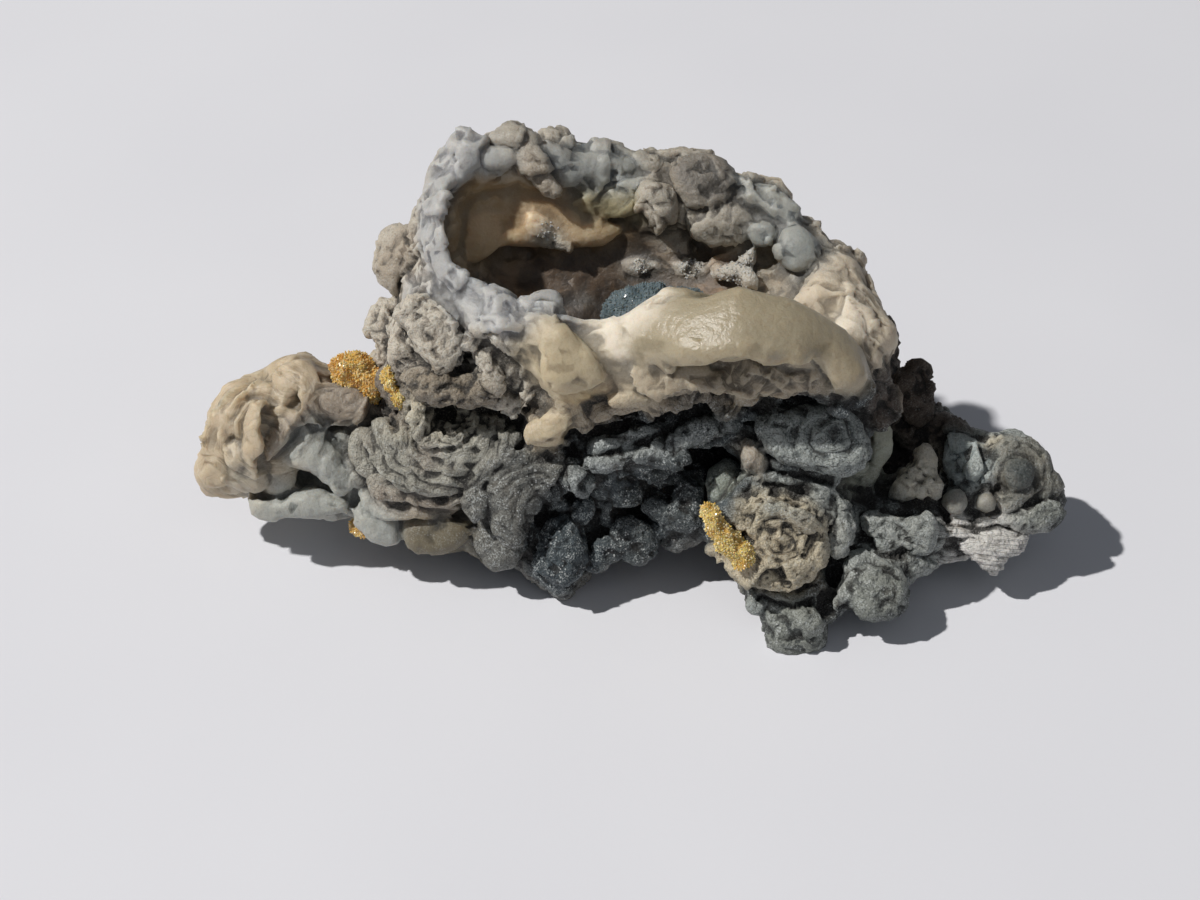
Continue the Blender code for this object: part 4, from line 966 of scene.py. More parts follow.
def tube_from(sections):
    """The points and faces of a closed tube through sections of equal size."""
    corners = len(sections[0])
    points = [corner for section in sections for corner in section]
    faces = []
    for start in range(0, len(points) - corners, corners):
        for corner in range(corners):
            after = (corner + 1) % corners
            faces.append((start + corner, start + after, start + corners + after, start + corners + corner))
    last = len(points) - corners
    faces += [tuple(range(corners))[::-1], tuple(range(last, last + corners))]
    return points, faces


def ball(centre, radii, turn=None):
    """The points and faces of an ellipsoid in mm."""
    rings, around = 9, 16
    sections = []
    for ring in range(rings + 1):
        height = math.pi * (ring + 0.02) / (rings + 0.04)
        section = []
        for step in range(around):
            angle = math.tau * step / around
            place = Vector((math.sin(height) * math.cos(angle) * radii[0],
                            math.sin(height) * math.sin(angle) * radii[1], math.cos(height) * radii[2]))
            section.append(centre + (turn @ place if turn else place))
        sections.append(section)
    return tube_from(sections)


def peg(foot, tip, thick, thin):
    """The points and faces of a tapered peg or spike with a rounded tip."""
    axis = tip - foot
    turn = axis.to_track_quat("Z", "Y").to_matrix()
    around = 10
    sections = []
    for share, radius in ((0.0, thick), (0.35, thick * 0.85 + thin * 0.15), (0.75, (thick + thin) / 2),
                          (0.93, thin), (1.0, thin * 0.5)):
        angles = [math.tau * step / around for step in range(around)]
        circle = [Vector((math.cos(angle) * radius, math.sin(angle) * radius, 0)) for angle in angles]
        sections.append([foot + axis * share + turn @ place for place in circle])
    return tube_from(sections)


def add_forms(stone, tree):
    """Joins plates, knobs, pegs and spikes into the stone's copy."""
    forms = [plate_strip(tree, *plate) for plate in PLATES]
    forms += [lump(tree, *form) for _, *form in LUMPS.values()]
    for (u, v), radius, height in KNOBS:
        here, normal = seen_at(tree, u, v, with_normal=True)
        forms.append(ball(here - normal * (radius - height), (radius, radius, radius)))
    for (u, v), (du, dv), thick, thin, out in PEGS:
        here, normal = seen_at(tree, u, v, with_normal=True)
        reach = (RIGHTWARDS * du - UPWARDS * dv) / PIXELS_PER_MM
        forms.append(peg(here - reach * 0.25 - normal * 0.4, here + reach + normal * out, thick, thin))
    points, faces = [], []
    for some_points, some_faces in forms:
        faces += [tuple(index + len(points) for index in face) for face in some_faces]
        points += [point * MM for point in some_points]
    data = bpy.data.meshes.new("forms")
    data.from_pydata(points, [], faces)
    data.update()
    added = bpy.data.objects.new("forms", data)
    bpy.context.scene.collection.objects.link(added)
    join_into(stone, added)


def press_pits(places, tree):
    rise = np.zeros(len(places))
    for (u, v), radius, depth in PITS:
        centre = np.array(seen_at(tree, u, v))[None]
        near = close_to(places, centre, radius)
        gap = np.linalg.norm(places[near] - centre, axis=1) / radius
        rise[near] = np.minimum(rise[near], -depth * np.clip(1 - gap ** 2, 0, 1))
    return rise


def press_creases(places, tree):
    rise = np.zeros(len(places))
    for half_width, depth, pixels in CREASES:
        line = line_on(tree, pixels)
        near = close_to(places, line, half_width)
        _, gap = nearest_on(places[near], line)
        rise[near] = np.minimum(rise[near], -depth * np.clip(1 - gap / half_width, 0, 1) ** 0.7)
    return rise


def ring_steps(places, tree, growth):
    """Thin shells about each centre: every ring rises outwards to its edge and drops to the next.

    Within a ring's reach, the growth is written anew as the way from its centre.
    """
    rise = np.zeros(len(places))
    wander = noise_of(places, 4.5, octaves=3, roughness=0.4)
    rings = [(seen_at(tree, u, v), *rest) for (u, v), *rest in PHOTO_RINGS]
    rings += [(tree.find_nearest(Vector(place))[0], *rest) for place, *rest in HIDDEN_RINGS]
    for centre, reach, step, height in rings:
        centre = np.array(centre)[None]
        near = close_to(places, centre, reach)
        gap = np.linalg.norm(places[near] - centre, axis=1)
        gap += wander[near] * step * 0.9
        growth[near] = np.where(gap < reach * 0.9, gap, growth[near])
        fade = np.clip((1 - gap / reach) * 3.0, 0, 1)
        rise[near] += height * RING_SHARE * saw(gap, step) * fade
    return rise


def kind_table():
    """Each kind's colours, turned to linear, and its shares."""
    table = {}
    for name, (colour, light, *shares) in KINDS.items():
        table[name] = np.array([*linear(colour), *linear(light), *shares])
    return table


def blend_kinds(places, tree):
    """Each point's mix of kinds, as two colours and the shares of each finish."""
    table = kind_table()
    spots = []
    for kind, patches in PATCHES.items():
        for u, v, reach in patches:
            spots.append((np.array(seen_at(tree, u, v)), reach, kind))
    for place, reach, kind in HIDDEN_PATCHES:
        spots.append((np.array(place, dtype=float), reach, kind))
    moved = warped(places, WARP_SIZE, WARP_SHIFT)
    moved = warped(moved, FINE_WARP_SIZE, FINE_WARP_SHIFT)
    total = np.zeros(len(places))
    mix = np.zeros((len(places), GLOSSY + 1))
    for centre, reach, kind in spots:
        near = close_to(moved, centre[None], reach * 2.0)
        gap = np.linalg.norm(moved[near] - centre, axis=1) / reach
        weight = np.exp(-2.6 * gap ** 2)
        total[near] += weight
        mix[near] += weight[:, None] * table[kind]
    far = np.flatnonzero(total < 1e-4)  # these take the kind of the nearest patch, some thousand at a time
    middles = np.array([centre for centre, _, _ in spots])
    batch = 4000
    for start in range(0, len(far), batch):
        some = far[start:start + batch]
        nearest = np.linalg.norm(moved[some, None] - middles[None], axis=2).argmin(axis=1)
        mix[some] = np.array([table[spots[number][2]] for number in nearest])
        total[some] = 1.0
    return mix / total[:, None]


def neighbours_of(obj):
    """The two points of each edge."""
    ends = np.empty(len(obj.data.edges) * 2, dtype=np.int64)
    obj.data.edges.foreach_get("vertices", ends)
    return ends.reshape(-1, 2)


def evened(values, edges, times_over):
    """Values spread to the neighbouring points a number of times."""
    count = len(values)
    first, second = edges[:, 0], edges[:, 1]
    share = np.bincount(first, minlength=count) + np.bincount(second, minlength=count)
    for _ in range(times_over):
        total = np.empty_like(values)
        for column in range(values.shape[1]):
            total[:, column] = np.bincount(first, values[second, column], count)
            total[:, column] += np.bincount(second, values[first, column], count)
        values = total / np.maximum(share, 1)[:, None]
    return values


def standing_out(obj, times_over):
    """How far each point stands out of the surface around it, in mm."""
    places = places_of(obj)
    around = evened(places, neighbours_of(obj), times_over)
    return np.einsum("ij,ij->i", places - around, normals_of(obj))


def store(obj, name, values):
    attribute = obj.data.attributes.new(name, "FLOAT", "POINT")
    attribute.data.foreach_set("value", values.astype(np.float32))


def store_colour(obj, name, colours):
    attribute = obj.data.attributes.new(name, "FLOAT_COLOR", "POINT")
    filled = np.ones((len(colours), 4), dtype=np.float32)
    filled[:, :3] = colours
    attribute.data.foreach_set("color", filled.ravel())


def fine_copy(node, name, grain):
    """A copy of a node with its loose triangles merged and its surface in small even faces."""
    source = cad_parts[node]
    copy = source.copy()
    copy.data = source.data.copy()
    copy.name = name
    bpy.context.scene.collection.objects.link(copy)
    make_active(copy)
    bpy.ops.object.mode_set(mode="EDIT")
    bpy.ops.mesh.select_all(action="SELECT")
    bpy.ops.mesh.remove_doubles(threshold=0.001 * MM)
    bpy.ops.object.mode_set(mode="OBJECT")
    copy.parent = None
    copy.matrix_world = Matrix.Identity(4)
    apply_modifier(copy, "REMESH", mode="VOXEL", voxel_size=grain * MM)
    return copy


def lip_share(places, tree, reach=LIP_REACH):
    """How much a place is part of the smooth lip, from 0 to 1."""
    line = line_on(tree, LIP_COURSE)
    share = np.zeros(len(places))
    near = close_to(places, line, reach)
    share[near] = np.clip(2 - 2 * nearest_on(places[near], line)[1] / reach, 0, 1)
    return share


def calm_lip(stone, tree, reach, times_over):
    """Evens the lip, so that it flows like wax."""
    places = places_of(stone)
    calm = lip_share(places, tree, reach)
    evenly = evened(places, neighbours_of(stone), times_over)
    set_places(stone, places + (evenly - places) * calm[:, None])


def mark_front(stone):
    """Weights that keep more triangles where the photo looks."""
    facing = normals_of(stone) @ np.array(BACKWARDS)
    weights = stone.vertex_groups.new(name="front")
    picked = np.flatnonzero((facing > -0.05) & (places_of(stone)[:, 2] > 1.5))
    weights.add(picked.tolist(), 1.0, "REPLACE")


def count_triangles(obj):
    obj.data.calc_loop_triangles()
    return len(obj.data.loop_triangles)


def press_main_forms(stone, tree):
    """Presses the pits and grooves, with a slow swell over all."""
    places, normals = places_of(stone), normals_of(stone)
    height, size = SWELL
    rise = press_pits(places, tree) + press_under_plates(places, tree)
    rise += height * noise_of(places, size, octaves=2)
    set_places(stone, places + normals * rise[:, None])


def add_unevenness(rise, places, layers, calm):
    """A little unevenness everywhere, less on the lip and on layered kinds."""
    height, size = SMALL_UNEVENNESS
    small = height * (1 - 0.7 * np.minimum(layers * 1.6, 1)) * noise_of(places, size, octaves=2, shift=9.0)
    height, size = UNEVENNESS
    uneven = height * noise_of(places, size, octaves=2) + small
    rise += (1 - 0.8 * calm) * uneven


def add_broken_faces(rise, places, rough, waxy):
    """Large chips on the roughest kinds, smaller ones on all rough kinds, and grain that waxy kinds lose."""
    fine = rough * np.clip(1.35 - 1.3 * waxy, 0.2, 1)
    bent = warped(places, 2.2, 0.6)
    rise += chipped(warped(places, 5.0, 0.8), LARGE_CHIPS, np.clip(rough * 2 - 0.9, 0, 1))
    rise += chipped(bent, MIDDLE_CHIPS, np.clip(rough * 1.6 - 0.3, 0, 1))
    rise += fine * (chipped(bent, SMALL_CHIPS) + chipped(bent, FINE_CHIPS))
    height, size = FOLDS
    rise += fine * height * noise_of(bent, size, octaves=3, roughness=0.55, shift=70.0, folded=True)
    height, size = GRAIN
    rise += (0.12 + 0.88 * fine) * height * noise_of(places, size, octaves=2, roughness=0.6, shift=30.0)


def fine_relief(stone, tree):
    """How far each point rises in mm: creases, rings, shells, knobs and broken faces, as its kind has it."""
    places = places_of(stone)
    mix = lump_kinds(stone, tree, blend_kinds(places, tree))
    layers = mix[:, LAYERED]
    growth = growth_of(places, layers)
    cells = growth.copy()
    rise = press_creases(places, tree) + ring_steps(places, tree, growth)
    height, step = SHELLS
    rise += (growth == cells) * np.minimum(layers, 0.7) * height * saw(cells, step)
    height, step = LAMINAE
    rise += np.clip(layers * 5 - 4, 0, 1) * height * saw(cells, step)
    add_unevenness(rise, places, layers, lip_share(places, tree))
    (height, size), (small_height, small_size) = SIDE_KNOBS, SMALL_SIDE_KNOBS
    rise += mix[:, KNOBBY] * (height * domes(warped(places, 4.0, 0.8), size)
                              + small_height * domes(places, small_size, 40.0))
    add_broken_faces(rise, places, mix[:, ROUGH], mix[:, WAXY])
    return rise


def kept_in_box(places):
    """Places kept above the floor, and drawn down towards the solid's top where they pass it."""
    grounded = np.clip(places[:, 2] / GROUND_REACH, 0, 1)
    places[:, 2] = np.maximum(places[:, 2], FLOOR_MARGIN * (1 - grounded))
    top = CAD_BOX[1][2] / MM
    places[:, 2] = np.where(places[:, 2] > top, top + TOP_SQUEEZE * (places[:, 2] - top), places[:, 2])
    return places


def thin_out(stone):
    """Fewer triangles, first on the sides that the photo doesn't show."""
    mark_front(stone)
    apply_modifier(stone, "DECIMATE", ratio=FIRST_THINNING, use_collapse_triangulate=True,
                   vertex_group="front", vertex_group_factor=1.0)
    ratio = min(1.0, STONE_TRIANGLES / count_triangles(stone))
    apply_modifier(stone, "DECIMATE", ratio=ratio, use_collapse_triangulate=True)
    stone.vertex_groups.clear()
    make_active(stone)
    bpy.ops.object.shade_smooth()


def store_finishes(stone, tree):
    """Writes what the material reads at each point: colours, shares of each finish, growth and relief."""
    places = places_of(stone)
    mix = lump_kinds(stone, tree, blend_kinds(places, tree))
    growth = growth_of(places, mix[:, LAYERED])
    ring_steps(places, tree, growth)
    store(stone, "growth", growth)
    store(stone, "layered", np.clip(mix[:, LAYERED] * 1.4, 0, 1))
    store(stone, "rim", rim_share(places, tree))
    store_colour(stone, "tint", mix[:, 0:3])
    store_colour(stone, "tint_light", mix[:, 3:6])
    store(stone, "speck", mix[:, SPECKLED])
    store(stone, "wax", mix[:, WAXY])
    store(stone, "gloss", mix[:, GLOSSY])
    small, large = standing_out(stone, 2), standing_out(stone, 14)
    store(stone, "ridge", np.clip(0.5 + small * 4.0, 0, 1))
    store(stone, "relief", np.clip(0.5 + large * 1.1, 0, 1))


def sculpt_stone():
    """The stone: its solid's copy takes the large forms, then a finer copy takes the relief."""
    stone = fine_copy("chalcedony", "chalcedony_stone", FIRST_GRAIN)
    apply_modifier(stone, "SMOOTH", factor=0.5, iterations=8)
    calm_lip(stone, tree_of(stone), LIP_REACH, LIP_CALMING)
    tree = tree_of(stone)
    press_main_forms(stone, tree)
    add_forms(stone, tree)
    apply_modifier(stone, "REMESH", mode="VOXEL", voxel_size=FINE_GRAIN * MM)
    apply_modifier(stone, "SMOOTH", factor=0.5, iterations=2)
    calm_lip(stone, tree, LIP_FINE_REACH, LIP_FINE_CALMING)
    places, normals = places_of(stone), normals_of(stone)
    set_places(stone, kept_in_box(places + normals * fine_relief(stone, tree)[:, None]))
    thin_out(stone)
    store_finishes(stone, tree)
    stone.data.materials.clear()
    stone.data.materials.append(chalcedony_material())
    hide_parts("chalcedony")
    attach(stone, "root")
    return stone


def add_node(tree, kind, settings=None, links=None):
    """A node with its settings, and its inputs set to a value or linked from another node's output."""
    node = tree.nodes.new(kind)
    for name, value in (settings or {}).items():
        setattr(node, name, value)
    for key, value in (links or {}).items():
        if isinstance(value, bpy.types.NodeSocket):
            tree.links.new(value, node.inputs[key])
        else:
            node.inputs[key].default_value = value
    return node


def new_material(name):
    made = bpy.data.materials.new(name)
    made.use_nodes = True
    return made, made.node_tree, made.node_tree.nodes["Principled BSDF"]


def mix_colours(tree, share, first, second, blend="MIX"):
    """The colour output of a mix of two colours, each a linked socket or a hex code."""
    links = {"Factor": share}
    for key, value in ((6, first), (7, second)):
        links[key] = (*linear(value), 1.0) if isinstance(value, str) else value
    return add_node(tree, "ShaderNodeMix", {"data_type": "RGBA", "blend_type": blend}, links).outputs[2]


def scaled_noise(tree, where, size, detail=2.0, roughness=0.5):
    """Noise with features of a size in mm."""
    return add_node(tree, "ShaderNodeTexNoise", None, {
        "Vector": where, "Scale": 1 / (size * MM), "Detail": detail, "Roughness": roughness}).outputs["Fac"]


def ramp(tree, value, low, high, start=0.0, end=1.0):
    """A smooth way from start to end while the value goes from low to high."""
    return add_node(tree, "ShaderNodeMapRange", {"interpolation_type": "SMOOTHSTEP"}, {
        "Value": value, "From Min": low, "From Max": high, "To Min": start, "To Max": end}).outputs["Result"]


def times(tree, first, second):
    return add_node(tree, "ShaderNodeMath", {"operation": "MULTIPLY"}, {0: first, 1: second}).outputs[0]


def attribute(tree, name, output="Fac"):
    return add_node(tree, "ShaderNodeAttribute", {"attribute_name": name}).outputs[output]


QUARTZ_IOR = 1.54

# Patterns of the stone's finish, in mm. Its sugar of quartz is finer than the grains here: they are drawn as
# coarse as they need to be to show.
CLOUD_SIZE, MOTTLE_SIZE, STAIN_SIZE, GRIT_SIZE = 3.2, 0.9, 5.5, 0.22
GRAIN_SIZE, GRAIN_PATCH, DUST_PATCH = 0.36, 2.2, 1.1
CRUMB_SIZE, CRUMB_WANDER_SIZE, CRUMB_WANDER = 1.15, 0.9, 0.7
ROUGH_SIZE = 0.42
LINE_SPACING = 0.55
# Colours of the finish: a real clay stain, a painted shadow under each shell's edge, and two near-black
# painted shades for the hollows and the creases.
CLAY_STAIN, LINE_SHADE, HOLLOW_SHADE, CRACK_SHADE = "#A58F76", "#3A362F", "#1D1B18", "#171512"
QUARTZ_GRAIN, QUARTZ_DUST = "#D6DAD9", "#C2C8C7"


def quartz_share(tree, where, grains, grit, ridge, relief):
    """Where white quartz sits: as dots in patches on what stands out, and as dust along the ridges."""
    patchy = ramp(tree, scaled_noise(tree, where, GRAIN_PATCH, 4.0, 0.6), 0.44, 0.60)
    chosen = add_node(tree, "ShaderNodeSeparateColor", None, {"Color": grains.outputs["Color"]}).outputs[0]
    patchy = times(tree, patchy, ramp(tree, chosen, 0.35, 0.6))
    raised = ramp(tree, relief, 0.40, 0.70, 0.15, 1.0)
    dots = times(tree, times(tree, ramp(tree, grains.outputs["Distance"], 0.40, 0.22), patchy), raised)
    dust = times(tree, ramp(tree, ridge, 0.50, 0.80, 0.12, 1.0), ramp(tree, grit, 0.50, 0.60))
    dust = times(tree, dust, ramp(tree, scaled_noise(tree, where, DUST_PATCH, 3.0), 0.42, 0.58, 0.15, 1.0))
    return dots, dust


def bumped(tree, coats):
    """The normal under several coats of bump: each has its height, its strength and its depth in mm."""
    normal = None
    for height, strength, depth in coats:
        links = {"Height": height, "Strength": strength, "Distance": depth * MM}
        if normal is not None:
            links["Normal"] = normal
        normal = add_node(tree, "ShaderNodeBump", None, links).outputs["Normal"]
    return normal


def wandering_crumbs(tree, where):
    """Round crumbs whose edges wander: how far each point is from its crumb's middle."""
    wander = add_node(tree, "ShaderNodeTexNoise", None, {
        "Vector": where, "Scale": 1 / (CRUMB_WANDER_SIZE * MM), "Detail": 2.0}).outputs["Color"]
    moved = add_node(tree, "ShaderNodeVectorMath", {"operation": "MULTIPLY_ADD"}, {
        0: wander, 1: (CRUMB_WANDER * MM,) * 3, 2: where}).outputs[0]
    return add_node(tree, "ShaderNodeTexVoronoi", None, {
        "Vector": moved, "Scale": 1 / (CRUMB_SIZE * MM)}).outputs["Distance"]


def chalcedony_material():
    """Chalcedony as grown: waxy, cloudy and banded, with white grains of quartz and cream clay stains; its
    pits, hollows and creases are darkened with painted shade.

    The cloudiness makes it glow at thin edges, helped by painted light along the shells' edges and crests,
    and the grains sparkle and whiten the knobs.
    """
    made, tree, shader = new_material("chalcedony_as_grown")
    where = add_node(tree, "ShaderNodeTexCoord").outputs["Object"]
    tint, light = attribute(tree, "tint", "Color"), attribute(tree, "tint_light", "Color")
    ridge, relief, growth, layered, rim, speck, wax, gloss = (attribute(tree, name) for name in (
        "ridge", "relief", "growth", "layered", "rim", "speck", "wax", "gloss"))
    dry = ramp(tree, wax, 0.1, 0.6, 1.0, 0.25)
    # Share of the dry kinds that takes both the real clay stains and the painted shade of hollows and
    # creases.
    stained_and_shaded = ramp(tree, wax, 0.1, 0.65, 1.0, 0.35)
    clouds = scaled_noise(tree, where, CLOUD_SIZE, 5.0, 0.62)
    mottle = scaled_noise(tree, where, MOTTLE_SIZE, 4.0, 0.6)
    stains = scaled_noise(tree, where, STAIN_SIZE, 5.0, 0.62)
    grit = scaled_noise(tree, where, GRIT_SIZE, 3.0, 0.7)
    lines = add_node(tree, "ShaderNodeMath", {"operation": "FRACT"}, {
        0: times(tree, growth, 1 / LINE_SPACING)}).outputs[0]
    grains = add_node(tree, "ShaderNodeTexVoronoi", None, {"Vector": where, "Scale": 1 / (GRAIN_SIZE * MM)})
    dots, dust = quartz_share(tree, where, grains, grit, ridge, relief)
    shaded_line = times(tree, ramp(tree, lines, 0.22, 0.0, 0.0, 0.7), layered)

    # Coats of colour from the first to the last: where each lies, its colour and how it mixes.
    coats = (
        (times(tree, ramp(tree, mottle, 0.56, 0.78, 0.0, 0.5), dry), light),
        (times(tree, ramp(tree, mottle, 0.46, 0.28, 0.0, 0.4), dry), tint, "MULTIPLY"),
        (times(tree, ramp(tree, stains, 0.48, 0.70, 0.0, 0.6), stained_and_shaded), CLAY_STAIN, "MULTIPLY"),
        # Painted highlight: the crests are lightened towards the kind's light colour.
        (ramp(tree, ridge, 0.56, 0.82, 0.0, 0.85), light),
        (times(tree, ramp(tree, lines, 0.60, 0.95, 0.0, 0.6), layered), light),
        (times(tree, shaded_line, dry), LINE_SHADE),
        # Partly a pale worn edge, partly painted light: the glow of light through each shell's thin edge is
        # laid on as colour.
        (ramp(tree, rim, 0.1, 0.7, 0.0, 0.75), light),
        # Painted shade: the hollows are darkened towards near black.
        (times(tree, ramp(tree, relief, 0.52, 0.08, 0.0, 0.75), stained_and_shaded), HOLLOW_SHADE),
        # Painted shade: the creases between the crests are darkened towards near black.
        (times(tree, ramp(tree, ridge, 0.40, 0.12, 0.0, 0.75), stained_and_shaded), CRACK_SHADE),
        (times(tree, ramp(tree, grit, 0.5, 0.34, 0.0, 0.55), dry), tint, "MULTIPLY"),
        (times(tree, ramp(tree, grit, 0.54, 0.72, 0.0, 0.5), dry), light),
        (times(tree, dots, speck), QUARTZ_GRAIN),
        (times(tree, times(tree, dust, speck), 0.9), QUARTZ_DUST))
    colour = mix_colours(tree, ramp(tree, clouds, 0.34, 0.68), tint, light)
    for share, coat, *blend in coats:
        colour = mix_colours(tree, share, colour, coat, *blend)
    tree.links.new(colour, shader.inputs["Base Color"])
    tree.links.new(ramp(tree, gloss, 0.0, 1.0, 0.78, 0.26), shader.inputs["Roughness"])
    tree.links.new(times(tree, wax, 0.85), shader.inputs["Subsurface Weight"])
    shader.inputs["Subsurface Radius"].default_value = (1.0, 0.74, 0.5)
    shader.inputs["Subsurface Scale"].default_value = 3.0 * MM
    shader.inputs["IOR"].default_value = QUARTZ_IOR
    tree.links.new(bumped(tree, (
        (scaled_noise(tree, where, ROUGH_SIZE, 4.0, 0.65), times(tree, dry, 0.9), 0.5),
        (wandering_crumbs(tree, where), times(tree, dry, 0.9), -0.42),
        (lines, times(tree, layered, 0.7), 0.14),
        (grains.outputs["Distance"], times(tree, dry, 0.5), -0.16))), shader.inputs["Normal"])
    return made


def crystal_shape(sides, blunt):
    """The points and faces of one crystal: a prism with a pointed top, one unit tall."""
    deselect_all()
    bpy.ops.mesh.primitive_cylinder_add(vertices=sides, radius=0.34, depth=0.6, location=(0, 0, 0.2))
    crystal = bpy.context.active_object
    bpy.ops.object.mode_set(mode="EDIT")
    bpy.ops.mesh.select_all(action="DESELECT")
    bpy.ops.object.mode_set(mode="OBJECT")
    top = max(crystal.data.polygons, key=lambda face: face.center.z)
    top.select = True
    bpy.ops.object.mode_set(mode="EDIT")
    bpy.ops.mesh.extrude_region_move(TRANSFORM_OT_translate={"value": (0, 0, 0.34)})
    bpy.ops.transform.resize(value=(blunt, blunt, 1), center_override=(0, 0, 0.84))
    bpy.ops.mesh.select_all(action="SELECT")
    bpy.ops.mesh.quads_convert_to_tris()
    bpy.ops.object.mode_set(mode="OBJECT")
    matrix = crystal.matrix_world.copy()
    points = np.array([matrix @ vertex.co for vertex in crystal.data.vertices])
    faces = np.array([tuple(face.vertices) for face in crystal.data.polygons])
    bpy.data.objects.remove(crystal)
    return points, faces


def grow_crystals(name, roots, outward, sizes, shape, seed, tilt=0.5):
    """One mesh of crystals that stand on their roots, each turned and tilted a little by chance."""
    chance = random.Random(seed)
    points, faces = shape
    all_points, all_faces, tones = [], [], []
    for number, (root, normal, size) in enumerate(zip(roots, outward, sizes)):
        lean = Vector([chance.uniform(-tilt, tilt) for _ in range(3)])
        up = (Vector(normal) + lean).normalized()
        turn = up.to_track_quat("Z", "Y").to_matrix() @ Matrix.Rotation(chance.uniform(0, math.tau), 3, "Z")
        scale = size * np.array([chance.uniform(0.8, most) for most in (1.2, 1.2, 1.5)])
        placed = (points * scale) @ np.array(turn).T + np.array(root)
        placed[:, 2] = np.maximum(placed[:, 2], FLOOR_MARGIN)
        all_points.append(placed)
        all_faces.append(faces + number * len(points))
        tones.append(np.full(len(points), chance.random()))
    data = bpy.data.meshes.new(name)
    data.from_pydata((np.concatenate(all_points) * MM).tolist(), [], np.concatenate(all_faces).tolist())
    data.update()
    obj = bpy.data.objects.new(name, data)
    bpy.context.scene.collection.objects.link(obj)
    store(obj, "tone", np.concatenate(tones))
    return obj


def scattered_roots(places, normals, count, seed):
    """So many points of a surface by chance, with their normals."""
    chance = np.random.default_rng(seed)
    picked = chance.choice(len(places), size=min(count, len(places)), replace=False)
    return places[picked], normals[picked]


def join_into(body, other):
    make_active(body)
    other.select_set(True)
    bpy.ops.object.join()


def crystal_crust(node, name, material, count, low, high, shape, seed):
    """A crust of crystals on the form of its solid."""
    body = fine_copy(node, name, CRUST_GRAIN)
    body.data.materials.clear()
    places, normals = places_of(body), normals_of(body)
    bumps = noise_of(places, 1.6, octaves=3)
    set_places(body, places + normals * (0.45 * bumps - 0.15)[:, None])
    store(body, "tone", np.clip(0.35 + 0.4 * bumps, 0, 1))
    roots, outward = scattered_roots(places_of(body), normals, count, seed)
    chance = random.Random(seed)
    sizes = [chance.uniform(low, high) for _ in roots]
    crystals = grow_crystals(name + "_points", roots - outward * low * 0.5, outward, sizes, shape, seed)
    join_into(body, crystals)
    body.data.materials.append(material)
    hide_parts(node)
    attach(body, "root")


def crystal_material(name, dark, mid, pale, roughness, glow):
    """Small clear crystals: light goes a little way in, and each face glints on its own."""
    made, tree, shader = new_material(name)
    where = add_node(tree, "ShaderNodeTexCoord").outputs["Object"]
    tone = attribute(tree, "tone")
    clouds = scaled_noise(tree, where, 1.8, 3.0)
    colour = mix_colours(tree, ramp(tree, clouds, 0.35, 0.65), mid, dark)
    colour = mix_colours(tree, ramp(tree, tone, 0.35, 0.95, 0.0, 0.8), colour, pale)
    tree.links.new(colour, shader.inputs["Base Color"])
    shader.inputs["Roughness"].default_value = roughness
    shader.inputs["IOR"].default_value = QUARTZ_IOR
    shader.inputs["Subsurface Weight"].default_value = glow
    shader.inputs["Subsurface Radius"].default_value = (1.0, 0.6, 0.3)
    shader.inputs["Subsurface Scale"].default_value = 1.0 * MM
    shader.inputs["Coat Weight"].default_value = 0.2
    shader.inputs["Coat Roughness"].default_value = 0.08
    facets = scaled_noise(tree, where, 0.3)
    tree.links.new(bumped(tree, ((facets, 0.25, 0.05),)), shader.inputs["Normal"])
    return made


# Finishes of the crystals: dark, middle and pale colour, roughness and glow.
CRYSTAL_FINISHES = {
    "amber_calcite": ("#C98A3C", "#E2AE5C", "#F3DBA4", 0.35, 0.6),
    "straw_calcite": ("#DFA84E", "#F0C976", "#F8E6B4", 0.35, 0.6),
    "blue_grey_quartz": ("#4A585D", "#5D6C71", "#73838A", 0.6, 0.3),
    "clear_quartz": ("#A39E94", "#C6C1B6", "#E4E0D6", 0.45, 0.4),
}

# Forms of a crystal: how many sides it has, and how blunt its point is.
CRYSTAL_FORMS = {"pointed": (6, 0.05), "blunt": (5, 0.45)}

# Crusts: the piece, the solid that it replaces, its slot and its finish; then how many crystals, their least
# and greatest size in mm, their form and the seed.
CRUSTS = {
    "amber_crust": (
        "yellow_crystals_upper", "yellow_crystals", "amber_calcite", 2200, 0.20, 0.40, "blunt", 11),
    "straw_strip": (
        "yellow_crystals_left", "yellow_crystals", "straw_calcite", 1000, 0.18, 0.34, "blunt", 12),
    "straw_vein": (
        "yellow_crystals_front", "yellow_crystals", "straw_calcite", 2200, 0.18, 0.36, "blunt", 13),
    "amber_pocket": (
        "yellow_crystals_low", "yellow_crystals", "amber_calcite", 500, 0.18, 0.36, "blunt", 14),
    "blue_druse": (
        "crystal_mound", "blue_grey_crystals", "blue_grey_quartz", 4200, 0.18, 0.32, "pointed", 15),
}

# Patches of sparkling quartz points: pixel, how far they reach in mm, and how many points.
SPARKLING_PATCHES = (
    ((548, 232), 1.6, 420), ((641, 266), 1.2, 260), ((690, 267), 1.4, 320), ((735, 275), 2.4, 700),
    ((745, 258), 1.2, 240),
)


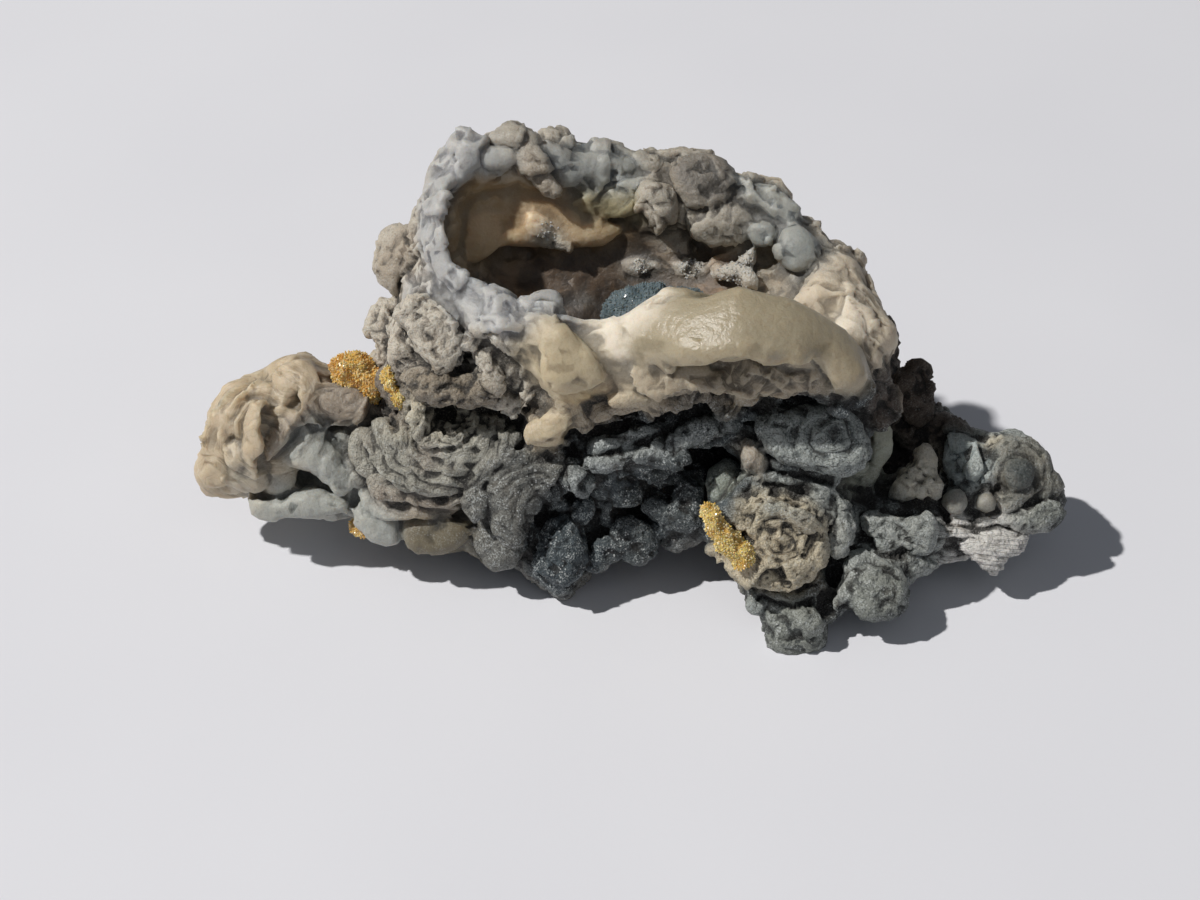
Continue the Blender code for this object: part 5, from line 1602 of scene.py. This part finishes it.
def sparkling_druse(stone, material, shape):
    """Quartz points scattered in patches over the hollow's wall and rim."""
    tree = tree_of(stone)
    places, normals = places_of(stone), normals_of(stone)
    roots, outward, sizes = [], [], []
    chance = random.Random(SAVED_SEED)
    for (u, v), reach, count in SPARKLING_PATCHES:
        centre = np.array(seen_at(tree, u, v))
        gap = np.linalg.norm(places - centre, axis=1)
        inside = np.flatnonzero(gap < reach)
        for _ in range(count):
            pick = inside[int(chance.random() * len(inside))]
            if chance.random() < gap[pick] / reach * 0.7:
                continue
            roots.append(places[pick] - normals[pick] * 0.1)
            outward.append(normals[pick])
            sizes.append(chance.uniform(0.15, 0.30))
    druse = grow_crystals("quartz_points", roots, outward, sizes, shape, SAVED_SEED, tilt=0.8)
    druse.data.materials.append(material)
    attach(druse, "root")


def make_crusts(stone):
    forms = {name: crystal_shape(*form) for name, form in CRYSTAL_FORMS.items()}
    finishes = {name: crystal_material(name, *finish) for name, finish in CRYSTAL_FINISHES.items()}
    for name, (node, slot, finish, count, low, high, form, seed) in CRUSTS.items():
        crystal_crust(node, name, finishes[finish], count, low, high, forms[form], seed)
    sparkling_druse(stone, finishes["clear_quartz"], forms["pointed"])


def make_floor():
    deselect_all()
    bpy.ops.mesh.primitive_plane_add(size=4.0, location=(0, 0, 0))
    floor = bpy.context.active_object
    floor.name = "paper_floor"
    made, tree, shader = new_material("pale_paper")
    where = add_node(tree, "ShaderNodeTexCoord").outputs["Object"]
    colour = mix_colours(tree, scaled_noise(tree, where, 60.0), "#D9DBE2", "#E2E4EA")
    tree.links.new(colour, shader.inputs["Base Color"])
    shader.inputs["Roughness"].default_value = 0.9
    fibres = scaled_noise(tree, where, 0.6, 3.0)
    tree.links.new(bumped(tree, ((fibres, 0.15, 0.05),)), shader.inputs["Normal"])
    floor.data.materials.append(made)


def add_light(name, direction, distance, size, power, colour):
    """A square lamp that faces the stone from a direction."""
    data = bpy.data.lights.new(name, "AREA")
    data.size = size
    data.energy = power
    data.color = linear(colour)
    lamp = bpy.data.objects.new(name, data)
    aim = Vector(direction).normalized()
    lamp.location = LOOK_AT * MM + aim * distance
    lamp.rotation_euler = aim.to_track_quat("Z", "Y").to_euler()
    bpy.context.scene.collection.objects.link(lamp)


def light_stage():
    """A low sun from the left, as the photo's shadow shows, and a weak soft light in front."""
    add_light("window_sun", (-0.57, -0.14, 0.80), distance=3.0, size=0.08, power=93.0, colour="#FFFBF6")
    add_light("soft_front", (0.25, -0.7, 0.75), distance=1.0, size=0.9, power=0.7, colour="#EEF2FA")
    world = bpy.data.worlds.new("studio")
    world.use_nodes = True
    background = world.node_tree.nodes["Background"]
    background.inputs["Color"].default_value = (*linear("#E4E8F0"), 1.0)
    background.inputs["Strength"].default_value = 0.12
    bpy.context.scene.world = world


def place_camera():
    data = bpy.data.cameras.new("photo_view")
    data.sensor_width = SENSOR_WIDTH
    data.lens = SENSOR_WIDTH * FOCAL_PIXELS / PHOTO_WIDTH
    data.clip_start = 0.01
    camera = bpy.data.objects.new("photo_view", data)
    camera.location = EYE * MM
    camera.rotation_euler = (math.radians(90) - ELEVATION, 0, 0)
    bpy.context.scene.collection.objects.link(camera)
    bpy.context.scene.camera = camera


def main():
    place_camera()
    light_stage()
    make_floor()
    stone = sculpt_stone()
    make_crusts(stone)
    bpy.context.scene.view_settings.view_transform = "Standard"


main()
